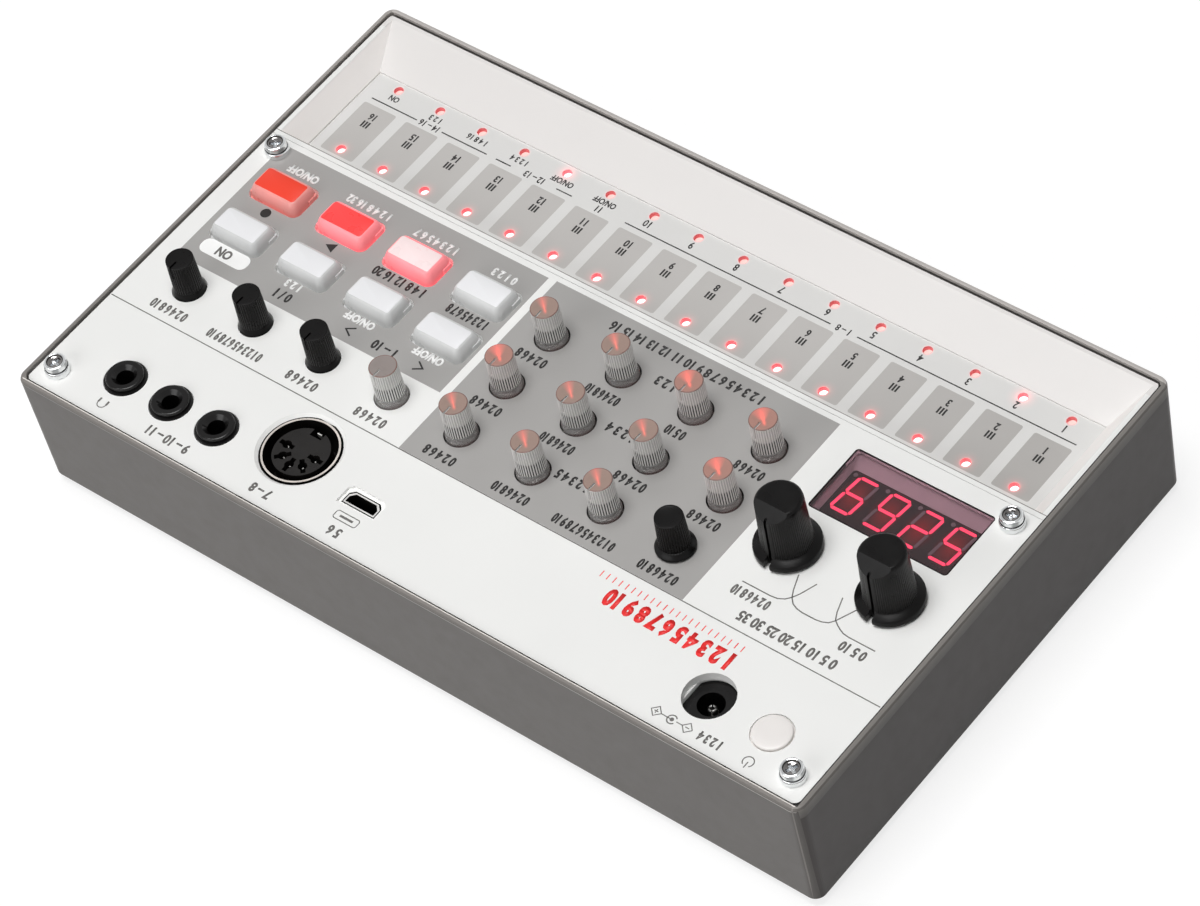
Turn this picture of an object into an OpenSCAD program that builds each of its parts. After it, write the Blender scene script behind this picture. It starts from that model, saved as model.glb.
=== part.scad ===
// Desktop drum machine: sixteen touch keys in a sunk frame, a knob and button panel, and a row of
// sockets along the rear. X runs to the right, Y to the rear and Z up, in millimetres. The origin is
// on the table, under the middle of the case.

/* [Case] */
// Room at each side of the battery bay, for a foot and a screw boss
side_room = 13.8; // [12.5:0.1:20]
// Room in front of and behind the battery bay, under the key frame
bay_room = 4.4; // [4.2:0.1:6]
// Height of the ribs between the battery bay and the key board
rib_h = 3.4; // [3:0.1:8]
// Depth of the socket row behind the knobs
socket_row_d = 25; // [24:0.25:32]
// How far the rim stands above the top panel
rim_h = 0.6; // [0.4:0.1:1.5]
// Thickness of the rim around the top panel
rim_t = 1.15; // [1:0.05:1.5]
// Thickness of the side walls
wall = 2.2; // [2:0.1:2.6]
// Thickness of the case floor
floor_t = 2; // [1.8:0.1:2.4]
// Radius of the upright corners
corner_r = 2.25; // [1.5:0.25:4]
// How much each side leans in from rim to floor
taper = 0.3; // [0.2:0.1:1.4]
// Rounding of the rim's outer edge
edge_r = 0.8; // [0.3:0.05:1]
// Diameter of a rubber foot
foot_d = 9; // [7:0.5:10]
// Height of a rubber foot
foot_h = 1.6; // [1:0.1:3]

/* [Top panel] */
// Thickness of the control plate
panel_t = 2; // [1.6:0.1:2.2]
// Gap between the top panel and the rim
panel_gap = 0.35; // [0.25:0.05:0.5]
// Gap between the control plate and the key frame
split_gap = 0.1; // [0.1:0.05:0.3]
// Radius of the top panel's corners
panel_r = 1.2; // [0.8:0.1:2]
// Diameter of a plate screw's head
screw_head_d = 5.2; // [4.6:0.1:5.6]
// Height of a plate screw's head
screw_head_h = 2.9; // [2:0.1:3.2]

/* [Touch keys] */
// Number of touch keys, each with two lights
key_count = 16; // [8:1:16]
// Depth of the key recess below the top panel
recess_depth = 4.6; // [4:0.1:5]
// Thickness of the touch overlay
overlay_t = 1; // [0.8:0.1:1.2]
// Diameter of a light hole in the overlay
led_hole_d = 2; // [1.6:0.1:2.4]

/* [Knobs] */
// Spacing of the knob rows
knob_row_pitch = 13.73; // [12.5:0.01:16]
// Width of the display and large knobs' zone at the left
left_zone_w = 44.6; // [44:0.1:50]
// Height of a small knob above the panel
knob_h = 8.9; // [7:0.1:11]
// Diameter of a small knob's top
knob_top_d = 5.6; // [5:0.1:5.8]
// Diameter of a small knob's body above its collar
knob_base_d = 6; // [5.8:0.05:6.2]
// Diameter of a small knob's collar
collar_d = 6.6; // [6.3:0.05:6.8]
// Gap around a small knob's collar in the panel
collar_gap = 0.28; // [0.2:0.02:0.4]
// Height of a large knob above the panel
big_knob_h = 14.4; // [12:0.1:18]
// Diameter of a large knob's skirt
big_skirt_d = 13.2; // [12:0.1:15]
// Diameter of a large knob's top
big_top_d = 9.2; // [8.6:0.1:9.6]
// Diameter of a large knob's metal shaft
big_shaft_d = 6; // [5:0.5:6]

/* [Buttons] */
// Width of a push button
button_w = 12.9; // [12:0.1:13.4]
// Depth of a push button
button_d = 7.8; // [7:0.1:8.4]
// Height of a push button above the panel
button_rise = 2.6; // [2:0.1:3.5]
// Travel of every button
button_travel = 0.8; // [0.4:0.1:1]
// Diameter of the power button
power_d = 7.8; // [7:0.1:9]

/* [Display] */
// Width of the display window
window_w = 31.9; // [31:0.1:33]
// Depth of the display window
window_d = 15.8; // [15:0.1:16.4]
// Height of the digit module
display_h = 7.25; // [6.5:0.05:8]

/* [Sockets] */
// Spacing of the phone sockets
jack_pitch = 12.05; // [11.6:0.05:12.4]
// Diameter of a phone socket's collar
jack_d = 8.6; // [8:0.1:9]
// Bore of a phone socket
jack_bore_d = 3.6; // [3.5:0.05:3.7]
// How far a phone socket stands above the panel
jack_rise = 1.15; // [0.6:0.05:2]
// Inner diameter of the five-pin socket's shield
din_inner_d = 14.9; // [14.7:0.1:15.2]
// Diameter of the five-pin socket's insert
din_insert_d = 11.6; // [11.4:0.1:11.8]
// Diameter of the hole for the power plug
barrel_d = 5.35; // [5.2:0.05:5.6]
// Diameter of the power socket's centre pin
centre_pin_d = 2; // [1.8:0.1:2.2]

/* [Inside] */
// Thickness of the circuit boards
board_t = 1.6; // [1.2:0.1:1.8]
// Distance from the top of the panel down to the main board
board_drop = 11.4; // [11.2:0.1:12.4]
// Diameter of a battery cell
cell_d = 14.5; // [13.5:0.1:14.5]
// Length of a battery cell
cell_l = 50.5; // [49:0.5:50.5]

/* [Hidden] */
$fn = 48;
hull_fn = 32;

// Shared clearances: a seated part, a turning shaft and a screw in its hole
seat_gap = 0.3;
turn_gap = 0.12;
stop_gap = 0.1;
screw_gap = 0.05;
skin = 0.01;

// Battery bay: two rows of three cells
cells_in_row = 3;
cell_gap = 0.4;
row_gap = 0.5;
door_t = 1.8;
spring_l = 6.5;
contact_t = 0.5;
contact_w = 10;
spring_wire = 0.8;
bay_wall = 1.4;
bay_slack = 0.6;

// Knob rows: from the split to the first row, and from the last row to the sockets
knob_front = 12.84;
knob_rear = 9.2;

// Heights
case_z = foot_h;
cell_z = case_z + door_t + seat_gap + cell_d / 2;
bay_roof_z = cell_z + cell_d / 2 + cell_gap;
bay_top = bay_roof_z + bay_wall;
key_board_under = bay_top + rib_h;
key_board_top = key_board_under + board_t;
overlay_top = key_board_top + overlay_t;
panel_z = overlay_top + recess_depth;
rim_z = panel_z + rim_h;
panel_under = panel_z - panel_t;
floor_top = case_z + floor_t;
board_top = panel_z - board_drop;
board_under = board_top - board_t;
body_h = panel_z - case_z;

// Top panel outline: the bay sets the key frame's depth and the panel's width, and the knobs the rest
bay_l = cells_in_row * cell_l + spring_l + 2 * contact_t + bay_slack;
bay_w = 2 * cell_d + row_gap + 2 * cell_gap;
frame_d = bay_w + 2 * bay_wall + bay_room;
panel_w = bay_l + 2 * (bay_wall + side_room);
panel_d = frame_d + knob_front + 2 * knob_row_pitch + knob_rear + socket_row_d;
case_w = panel_w + 2 * (rim_t + panel_gap);
case_d = panel_d + 2 * (rim_t + panel_gap);
left_x = -panel_w / 2;
right_x = panel_w / 2;
front_y = -panel_d / 2;
rear_y = panel_d / 2;
split_y = front_y + frame_d;

// Inside of the case at its floor, where it is narrowest
inner_w = case_w - 2 * (taper + wall);
inner_d = case_d - 2 * (taper + wall);

// Plate screws and their bosses
screw_inset_x = 4.3;
screw_rear_inset = 4.7;
screw_front_inset = 3.5;
screw_d = 2.9;
screw_l = 10;
boss_r = 3.4;
PLATE_SCREWS = [
    for (sx = [-1, 1]) for (y = [split_y + screw_front_inset, rear_y - screw_rear_inset])
        [sx * (right_x - screw_inset_x), y]
];

// Screws from below into the key frame
frame_boss_r = 3;
frame_post_wall = 1.4;
frame_boss_inset = [5.4, 5];
frame_boss_l = 9.6;
frame_joint_z = overlay_top - frame_boss_l;
frame_screw_web = 4.1;
frame_screw_seat_z = frame_joint_z - seat_gap - frame_screw_web;
frame_screw_d = 2.8;
frame_screw_l = 12;
frame_screw_head_d = 5.4;
frame_screw_head_h = 2;
FRAME_SCREWS = [
    for (sx = [-1, 1]) [sx * (right_x - frame_boss_inset[0]), front_y + frame_boss_inset[1]]
];

// Key recess: its floor edges and its mouth, measured in from the panel's edges
recess_side = 5;
recess_front = 11;
mouth_lip = 1;
frame_bar = 1.2;
recess_lip = 0.4;
overlay_margin = 1;
key_board_side = 7.4;
key_edge = 1.04;
key_pitch = (panel_w - 2 * (recess_side + key_edge)) / key_count;
step_led_inset = 5.1;
part_led_inset = 1.9;
key_led = [1.2, 0.8, 0.5];
tongue_w = 10;
tongue_l = 3.2;
tongue_t = 1.7;
tongue_x = 35;

// Knob grid: places counted from the right edge and from the split
knob_edge = 13;
knob_columns = 8;
knob_pitch = (panel_w - left_zone_w - knob_edge) / (knob_columns - 0.5);
button_front = 11.6;
button_row_pitch = 12.2;
function col_x(col) = right_x - knob_edge - (knob_columns - col) * knob_pitch;
function row_y(row) = split_y + knob_front + (3 - row) * knob_row_pitch;
function button_y(row) = split_y + button_front + (2 - row) * button_row_pitch;
collar_rise = 1.3;
collar_sink = 1;
knob_shaft_d = 4;
slit_w = 0.36;
slit_l = 1.9;
slit_drop = 3.2;
pot_w = 9.6;
pot_h = 6.6;
pot_top = board_top + pot_h;
led_h = 1.2;
select_skirt_d = 8;
select_skirt_h = 1.3;
select_shift = 0.8;
SELECT = [col_x(1) + select_shift, row_y(1)];
CLEAR_KNOBS = [for (col = [2:5]) [col, 1], for (row = [2, 3]) for (col = [1:4]) [col, row]];
BLACK_KNOBS = [for (col = [6:8]) [col, 1]];
LIT_KNOBS = [for (place = CLEAR_KNOBS) if (place != [5, 1]) place];

// Sockets along the rear: how far the phone sockets and the power button lie from its edge
socket_inset = 10.2;

// Large knobs
big_edge = 12.8;
big_pitch = 23.5;
big_front = 29.3;
BASS = [left_x + big_edge, split_y + big_front];
TREBLE = [BASS[0] + big_pitch, BASS[1]];
big_gap = 0.5;
big_skirt_h = 2;
big_body_d = 10;
big_socket_l = 9;
big_shoulder = 0.8;
big_face_chord = 2.1;
big_face_slope = 42;
big_groove_w = 0.6;
big_groove_depth = 0.75;
big_notch_w = 1.3;
big_pot_w = 11;
big_bush_d = 9;
flat_depth = 1.2;

// Buttons
button_top_w = 10.6;
button_top_d = 5;
button_r = 1.6;
button_foot = 0.45;
button_gap = 0.3;
button_flange = 0.7;
button_flange_t = 1.2;
stem_d = 3;
switch_w = 6;
switch_h = 3.5;
plunger_d = 3.2;
plunger_h = 1.5;
plunger_top = board_top + switch_h + plunger_h;
stem_end = plunger_top + button_travel + stop_gap;
power_dome = 0.4;
power_edge = 13.3;
POWER = [left_x + power_edge, rear_y - socket_inset];
BUTTONS = [for (row = [1, 2]) for (col = [5:8]) [col, row]];
SWITCHES = concat([for (place = BUTTONS) [col_x(place[0]), button_y(place[1])]], [POWER]);

// Display
display_edge = 7.5;
display_front = 11.9;
DISPLAY = [left_x + display_edge + window_w / 2, split_y + display_front];
window_r = 0.8;
window_gap = 0.15;
window_flange = 1.3;
window_flange_t = 0.9;
window_sink = 0.1;
module_w = 30.1;
module_d = 14;

// Sockets: the phone sockets start from the right, and each next one stands beside them
jack_edge = 17.5;
JACKS = [for (i = [0:2]) [right_x - jack_edge - i * jack_pitch, rear_y - socket_inset]];
jack_gap = 0.2;
jack_body = [8.6, 10];
jack_mouth = 0.8;
jack_lip = 0.45;
din_room = 4.4;
din_inset = 14.9;
din_base = [17.6, 2.3];
DIN = [JACKS[2][0] - jack_body[0] / 2 - din_room - din_base[0] / 2, rear_y - din_inset];
din_shield_t = 0.4;
din_hole_gap = 0.25;
din_flare = 0.85;
din_insert_sink = 0.9;
din_shield_sink = 0.4;
din_slot = [1, 3.4, 7];
din_contact_d = 1.9;
din_slot_r = 3.6;
din_key = [2.8, 1.7];
usb_room = 6.3;
usb_inset = 11.3;
usb_w = 7.6;
USB = [DIN[0] - din_base[0] / 2 - usb_room - usb_w / 2, rear_y - usb_inset];
usb_d = 2.9;
usb_t = 0.3;
usb_sink = 0.6;
usb_bevel = 1;
usb_gap = 0.25;
usb_flare = 0.6;
usb_tongue = [4.6, 0.7, 6.5];
usb_floor = 1.5;
barrel_edge = 28;
barrel_inset = 10.6;
BARREL = [left_x + barrel_edge, rear_y - barrel_inset];
barrel_hole_d = 10.3;
barrel_body_d = 10.6;
barrel_flat = 4.45;
barrel_collar_w = 1.2;
barrel_sink = 2.6;
barrel_floor = 1;
barrel_collar_t = 1;
centre_pin_sink = 1;

// Main board, its posts and what it carries below
board_side_gap = 0.5;
board_front = 0.9;
board_notch = 8;
boss_gap = 0.4;
post_r = 2.8;
post_edge = 5.8;
post_rear = 24.2;
post_front = 4.3;
POSTS = [
    [left_x + post_edge, rear_y - post_rear], [col_x(1) - knob_pitch / 2, rear_y - post_rear],
    [col_x(4) + knob_pitch / 2, rear_y - post_rear], [right_x - post_edge, rear_y - post_rear],
    [col_x(1) - knob_pitch / 2, split_y + post_front],
    [col_x(4) + knob_pitch / 2, split_y + post_front]
];
post_screw_d = 2.3;
post_screw_l = 7;
post_head = [4.6, 1.7];
// Chips by place, width, depth and height
CHIPS = [
    [[col_x(2), row_y(3)], 14, 14, 1.2],
    [[col_x(4), row_y(3)], 9, 6, 1.2],
    [[col_x(7), row_y(1)], 6, 5, 1.4],
    [[BARREL[0], row_y(1)], 8, 8, 1.3]
];
header = [14, 3.5, 2.2];
header_x = -10;
key_header_y = split_y - 4;
main_header_y = split_y + 5;
ribbon_w = 12.7;
ribbon_t = 0.3;
ribbon_run = 1;

// Battery bay, door and leads
bay_shift = 0.2;
bay_y = split_y - bay_room / 2 - bay_wall - bay_w / 2 + bay_shift;
door_lip = 1;
door_gap = 0.3;
door_l = bay_l + 2 * door_lip;
door_w = bay_w + 2 * door_lip;
door_rear = bay_y + door_w / 2;
hinge_y = door_rear - door_t / 2;
hinge_z = case_z + door_t / 2;
hook_w = 8;
hook_x = 50;
hook_rise = 3.6;
hook_reach = 1.6;
hook_t = 1.3;
hook_root = 1.6;
hook_swing = norm([door_rear + hook_reach - hinge_y, case_z + hook_rise - hinge_z]);
thumb_r = 6;
thumb_inset = 2;
thumb_depth = 0.9;
rib_t = 1.6;
lead_d = 1.2;
lead_bend = 2;
lead_drop = 3.5;
lead_out = 1;
lead_back = 3;
function row_centre(row) = bay_y + row * (cell_d + row_gap) / 2;
function lead_z(row) = cell_z + (row < 0 ? lead_drop : 0);
foot_front_edge = 6.6;
foot_rear_edge = 11;
foot_rear_inset = 9;
FEET = [
    for (sx = [-1, 1]) for (place = [[foot_front_edge, bay_y], [foot_rear_edge, rear_y - foot_rear_inset]])
        [sx * (right_x - place[0]), place[1]]
];

// ---- Shapes used more than once ----

// Flat rectangle with round corners, centred
module round_rect(w, d, r) {
    square([w - 2 * r, d], center = true);
    square([w, d - 2 * r], center = true);
    for (sx = [-1, 1]) for (sy = [-1, 1])
        translate([sx * (w / 2 - r), sy * (d / 2 - r)]) circle(r);
}

// Thin layer of a rounded block, for a hull
module layer(w, d, r, z) {
    translate([0, 0, z]) linear_extrude(skin) round_rect(w, d, r, $fn = hull_fn);
}

// Upright cylinder from z0 to z1
module post(place, r, z0, z1) {
    translate([place[0], place[1], z0]) cylinder(r = r, h = z1 - z0);
}

// Upright block from z0 to z1, centred on a place
module block(place, w, d, z0, z1) {
    translate([place[0] - w / 2, place[1] - d / 2, z0]) cube([w, d, z1 - z0]);
}

// Cross recess in a screw head whose top is at z
module cross_recess(z, w, depth) {
    for (turn = [0, 90])
        rotate(turn) translate([-w / 2, -w / 8, z - depth]) cube([w, w / 4, depth + 1]);
}

// ---- Case ----

module case_outside() {
    low = 2 * taper;
    hull() {
        layer(case_w - low - 2 * edge_r, case_d - low - 2 * edge_r, corner_r - edge_r, case_z);
        layer(case_w - low, case_d - low, corner_r, case_z + edge_r);
        layer(case_w, case_d, corner_r, rim_z - edge_r);
        layer(case_w - 0.6 * edge_r, case_d - 0.6 * edge_r, corner_r - 0.3 * edge_r, rim_z - 0.3 * edge_r);
        layer(case_w - 2 * edge_r, case_d - 2 * edge_r, corner_r - edge_r, rim_z - skin);
    }
}

module case_inside() {
    inner_r = max(corner_r - wall, 0.5);
    grow = 2 * taper;
    hull() {
        layer(inner_w, inner_d, inner_r, floor_top);
        layer(inner_w + grow, inner_d + grow, inner_r, panel_under);
    }
}

// Space for the top panel from its underside up, as far back as rear
module panel_pocket(underside, rear) {
    intersection() {
        translate([0, 0, underside - seat_gap]) linear_extrude(body_h)
            round_rect(panel_w + 2 * panel_gap, panel_d + 2 * panel_gap, panel_r + panel_gap);
        block([0, rear - panel_d], case_w, 2 * panel_d, underside - seat_gap, rim_z + 1);
    }
}

module case_posts() {
    for (place = PLATE_SCREWS) post(place, boss_r, floor_top - skin, panel_under);
    for (place = POSTS) post(place, post_r, floor_top - skin, board_under);
    for (place = FRAME_SCREWS)
        post(place, frame_boss_r + frame_post_wall, floor_top - skin, frame_joint_z - seat_gap);
}

module battery_bay() {
    outer_y0 = -inner_d / 2 - wall / 2;
    outer_y1 = bay_y + bay_w / 2 + bay_wall;
    difference() {
        block([0, (outer_y0 + outer_y1) / 2], bay_l + 2 * bay_wall, outer_y1 - outer_y0,
              floor_top - skin, bay_top);
        block([0, bay_y], bay_l, bay_w, case_z, bay_roof_z);
        for (row = [-1, 1]) translate([-bay_l / 2 - 2 * bay_wall, row_centre(row), lead_z(row)])
            rotate([0, 90, 0]) cylinder(r = lead_d / 2 + seat_gap, h = 3 * bay_wall);
    }
    for (i = [-1.5:1:1.5])
        block([i * cell_l, bay_y], rib_t, bay_w, bay_top - skin, key_board_under);
}

module door_cuts() {
    block([0, bay_y], door_l + 2 * door_gap, door_w + 2 * door_gap, case_z - 1, floor_top);
    for (sx = [-1, 1])
        block([sx * hook_x, hinge_y], hook_w + 2 * door_gap, 2 * (hook_swing + door_gap),
              floor_top, hinge_z + hook_swing + door_gap);
}

module bottom_case() {
    color([0.44, 0.42, 0.41]) difference() {
        union() {
            difference() {
                case_outside();
                case_inside();
                panel_pocket(panel_under, rear_y + panel_gap);
                panel_pocket(overlay_top, split_y);
            }
            intersection() {
                case_posts();
                case_outside();
            }
            battery_bay();
        }
        door_cuts();
        for (place = PLATE_SCREWS)
            post(place, screw_d / 2 + screw_gap, panel_z - screw_l - 1, panel_z);
        for (place = POSTS)
            post(place, post_screw_d / 2 + screw_gap, board_top - post_screw_l - 1, board_top);
        for (place = FRAME_SCREWS) {
            post(place, frame_screw_head_d / 2 + seat_gap, case_z - 1, frame_screw_seat_z);
            post(place, frame_screw_d / 2 + seat_gap, case_z - 1, frame_joint_z);
        }
    }
}

module feet() {
    bevel = 0.5;
    color([0.16, 0.16, 0.17]) for (place = FEET) translate([place[0], place[1], 0]) {
        cylinder(r1 = foot_d / 2 - bevel, r2 = foot_d / 2, h = bevel);
        translate([0, 0, bevel]) cylinder(r = foot_d / 2, h = foot_h - bevel);
    }
}

// ---- Control plate ----

module plate_holes() {
    through = panel_t + 4;
    z = panel_under - 2;
    for (place = concat(CLEAR_KNOBS, BLACK_KNOBS, [[1, 1]]))
        post([place == [1, 1] ? SELECT[0] : col_x(place[0]), row_y(place[1])],
             collar_d / 2 + collar_gap, z, z + through);
    for (place = [BASS, TREBLE]) post(place, big_shaft_d / 2 + 1, z, z + through);
    for (place = PLATE_SCREWS) post(place, screw_d / 2 + 0.2, z, z + through);
    for (place = JACKS) post(place, jack_d / 2 + jack_gap, z, z + through);
    for (place = BUTTONS)
        translate([col_x(place[0]), button_y(place[1]), z]) linear_extrude(through)
            button_outline(button_gap);
    post(POWER, power_d / 2 + button_gap, z, z + through);
    translate([DISPLAY[0], DISPLAY[1], z]) linear_extrude(through)
        round_rect(window_w, window_d, window_r);
    din_hole_r = din_inner_d / 2 + din_shield_t + din_hole_gap;
    post(DIN, din_hole_r, z, z + through);
    translate([DIN[0], DIN[1], panel_z - din_flare])
        cylinder(r1 = din_hole_r, r2 = din_hole_r + din_flare, h = din_flare + skin);
    translate([USB[0], USB[1], z]) linear_extrude(through) usb_outline(usb_gap);
    translate([USB[0], USB[1], panel_z - usb_flare])
        linear_extrude(through) usb_outline(usb_gap + usb_flare);
    post(BARREL, barrel_hole_d / 2, panel_under, z + through);
    translate([BARREL[0], BARREL[1], z]) linear_extrude(panel_under - z) barrel_outline(seat_gap);
}

module control_plate() {
    plate_y0 = split_y + split_gap / 2;
    color([0.93, 0.93, 0.93]) difference() {
        union() {
            difference() {
                translate([0, 0, panel_under]) linear_extrude(panel_t)
                    round_rect(panel_w, panel_d, panel_r);
                block([0, plate_y0 - panel_d / 2], panel_w + 2, panel_d, panel_under - 1, panel_z + 1);
            }
            post(BARREL, barrel_body_d / 2 + seat_gap + barrel_collar_w,
                 panel_under - barrel_collar_t, panel_under + skin);
        }
        plate_holes();
    }
}

module plate_screws() {
    bevel = 0.7;
    color([0.78, 0.78, 0.77]) for (place = PLATE_SCREWS) translate([place[0], place[1], 0])
        difference() {
            union() {
                post([0, 0], screw_d / 2, panel_z - screw_l, panel_z + skin);
                post([0, 0], screw_head_d / 2, panel_z, panel_z + screw_head_h - bevel);
                translate([0, 0, panel_z + screw_head_h - bevel])
                    cylinder(r1 = screw_head_d / 2, r2 = screw_head_d / 2 - bevel, h = bevel);
            }
            cross_recess(panel_z + screw_head_h, 2.8, 1.4);
        }
}

// ---- Key frame, overlay and key board ----

// Space of the recess: two prisms, one along each side, whose overlap has sloping walls
module recess_space() {
    floor_x = right_x - recess_side;
    mouth_x = right_x - mouth_lip;
    floor_y = front_y + recess_front;
    mouth_y = front_y + mouth_lip;
    bar_y = split_y - frame_bar;
    lip_z = overlay_top + recess_lip;
    above = panel_z + 1;
    slope_x = (mouth_x - floor_x) / (panel_z - lip_z);
    slope_y = (floor_y - mouth_y) / (panel_z - lip_z);
    intersection() {
        translate([0, rear_y, 0]) rotate([90, 0, 0]) linear_extrude(panel_d) polygon([
            [-floor_x, overlay_top - 1], [floor_x, overlay_top - 1], [floor_x, lip_z],
            [mouth_x + slope_x, above], [-mouth_x - slope_x, above], [-floor_x, lip_z]
        ]);
        translate([-panel_w / 2, 0, 0]) rotate([90, 0, 90]) linear_extrude(panel_w) polygon([
            [floor_y, overlay_top - 1], [bar_y, overlay_top - 1], [bar_y, above],
            [mouth_y - slope_y, above], [floor_y, lip_z]
        ]);
    }
}

module key_frame() {
    frame_y1 = split_y - split_gap / 2;
    color([0.91, 0.9, 0.9]) difference() {
        union() {
            difference() {
                translate([0, 0, overlay_top]) linear_extrude(recess_depth)
                    round_rect(panel_w, panel_d, panel_r);
                block([0, frame_y1 + panel_d / 2], panel_w + 2, panel_d, overlay_top - 1, panel_z + 1);
                recess_space();
            }
            for (place = FRAME_SCREWS)
                post(place, frame_boss_r, frame_joint_z, overlay_top + skin);
            for (sx = [-1, 1])
                translate([sx * tongue_x - tongue_w / 2, frame_y1 - skin, panel_under - seat_gap - tongue_t])
                    cube([tongue_w, tongue_l, tongue_t]);
        }
        for (place = FRAME_SCREWS)
            post(place, frame_screw_d / 2 + screw_gap, frame_joint_z - 1,
                 frame_screw_seat_z + frame_screw_l + 0.5);
    }
}

module frame_screws() {
    seat_z = frame_screw_seat_z;
    color([0.3, 0.3, 0.31]) for (place = FRAME_SCREWS) translate([place[0], place[1], 0])
        difference() {
            union() {
                post([0, 0], frame_screw_d / 2, seat_z - skin, seat_z + frame_screw_l);
                post([0, 0], frame_screw_head_d / 2, seat_z - frame_screw_head_h, seat_z);
            }
            mirror([0, 0, 1]) cross_recess(frame_screw_head_h - seat_z, 2.8, 1);
        }
}

overlay_y0 = front_y + recess_front - overlay_margin;
overlay_y1 = split_y - split_gap;
step_led_y = split_y - frame_bar - step_led_inset;
part_led_y = front_y + recess_front + part_led_inset;
KEY_LEDS = [
    for (y = [step_led_y, part_led_y]) for (i = [0:key_count - 1])
        [(i - (key_count - 1) / 2) * key_pitch, y]
];

module key_overlay() {
    color([0.8, 0.8, 0.8]) difference() {
        block([0, (overlay_y0 + overlay_y1) / 2], 2 * (right_x - recess_side + overlay_margin),
              overlay_y1 - overlay_y0, key_board_top, overlay_top);
        for (place = KEY_LEDS) post(place, led_hole_d / 2, key_board_top - 1, overlay_top + 1);
    }
}

module key_board() {
    color([0.1, 0.3, 0.2])
        block([0, (overlay_y0 + overlay_y1) / 2], panel_w - 2 * key_board_side,
              overlay_y1 - overlay_y0, key_board_under, key_board_top);
}

module key_leds() {
    color([1, 0.35, 0.4]) for (place = KEY_LEDS)
        block(place, key_led[0], key_led[1], key_board_top, key_board_top + key_led[2]);
}

// ---- Boards ----

module main_board() {
    board_y0 = split_y + board_front;
    board_y1 = inner_d / 2 - board_side_gap;
    color([0.08, 0.28, 0.18]) difference() {
        block([0, (board_y0 + board_y1) / 2], inner_w - 2 * board_side_gap, board_y1 - board_y0,
              board_under, board_top);
        for (place = PLATE_SCREWS) {
            post(place, boss_r + boss_gap, board_under - 1, board_top + 1);
            notch_x = place[0] > 0 ? place[0] : place[0] - board_notch;
            notch_y = place[1] > 0 ? place[1] : place[1] - board_notch;
            translate([notch_x, place[1] - boss_r - boss_gap, board_under - 1])
                cube([board_notch, 2 * (boss_r + boss_gap), board_t + 2]);
            translate([place[0] - boss_r - boss_gap, notch_y, board_under - 1])
                cube([2 * (boss_r + boss_gap), board_notch, board_t + 2]);
        }
        for (place = POSTS) post(place, post_screw_d / 2 + 0.2, board_under - 1, board_top + 1);
        for (place = JACKS) post(place, jack_bore_d / 2 + 0.3, board_under - 1, board_top + 1);
    }
}

module board_screws() {
    color([0.55, 0.55, 0.56]) for (place = POSTS) translate([place[0], place[1], 0])
        difference() {
            union() {
                post([0, 0], post_screw_d / 2, board_top - post_screw_l, board_top + skin);
                post([0, 0], post_head[0] / 2, board_top, board_top + post_head[1]);
            }
            cross_recess(board_top + post_head[1], 2.4, 0.9);
        }
}

// Chips under the main board, and the two headers of the link cable
module board_parts() {
    color([0.12, 0.12, 0.13]) {
        for (chip = CHIPS)
            block(chip[0], chip[1], chip[2], board_under - chip[3], board_under);
        block([header_x, key_header_y], header[0], header[1], key_board_under - header[2], key_board_under);
        block([header_x, main_header_y], header[0], header[1], board_top, board_top + header[2]);
    }
}

module link_cable() {
    y0 = key_header_y + header[1] / 2;
    y1 = main_header_y - header[1] / 2;
    z0 = key_board_under - header[2] / 2;
    z1 = board_top + header[2] / 2;
    color([0.7, 0.7, 0.68]) translate([header_x - ribbon_w / 2, 0, 0])
        rotate([90, 0, 90]) linear_extrude(ribbon_w) polygon([
            [y0, z0], [y0 + ribbon_run, z0], [y1 - ribbon_run, z1], [y1, z1],
            [y1, z1 - ribbon_t], [y1 - ribbon_run, z1 - ribbon_t],
            [y0 + ribbon_run, z0 - ribbon_t], [y0, z0 - ribbon_t]
        ]);
}

// ---- Display ----

module display_module() {
    color([0.2, 0.16, 0.18])
        block(DISPLAY, module_w, module_d, board_top, board_top + display_h);
}

module display_window() {
    lens_w = window_w - 2 * window_gap;
    lens_d = window_d - 2 * window_gap;
    color([0.45, 0.28, 0.36, 0.6]) translate([DISPLAY[0], DISPLAY[1], 0]) {
        translate([0, 0, panel_under - skin]) linear_extrude(panel_t - window_sink + skin)
            round_rect(lens_w, lens_d, window_r);
        difference() {
            translate([0, 0, panel_under - window_flange_t]) linear_extrude(window_flange_t)
                round_rect(window_w + 2 * window_flange, window_d + 2 * window_flange, window_r);
            for (place = PLATE_SCREWS)
                post(place - DISPLAY, boss_r + seat_gap, panel_under - 2 * window_flange_t, panel_z);
        }
    }
}

// ---- Sockets ----

module phone_jacks() {
    top = panel_z + jack_rise;
    lip_r = jack_d / 2 - jack_lip;
    color([0.07, 0.07, 0.07]) for (place = JACKS) translate([place[0], place[1], 0])
        difference() {
            union() {
                block([0, 0], jack_body[0], jack_body[1], board_top, panel_under - seat_gap);
                post([0, 0], jack_d / 2, panel_under - seat_gap - skin, panel_z + 0.25);
                post([0, 0], lip_r, panel_z, top - jack_lip);
                translate([0, 0, top - jack_lip]) rotate_extrude() {
                    square([lip_r - jack_lip, jack_lip]);
                    translate([lip_r - jack_lip, 0]) intersection() {
                        circle(jack_lip);
                        square(jack_lip);
                    }
                }
            }
            post([0, 0], jack_bore_d / 2, board_top - 1, top + 1);
            translate([0, 0, top - jack_mouth])
                cylinder(r1 = jack_bore_d / 2, r2 = jack_bore_d / 2 + jack_mouth, h = jack_mouth + skin);
        }
}

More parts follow.
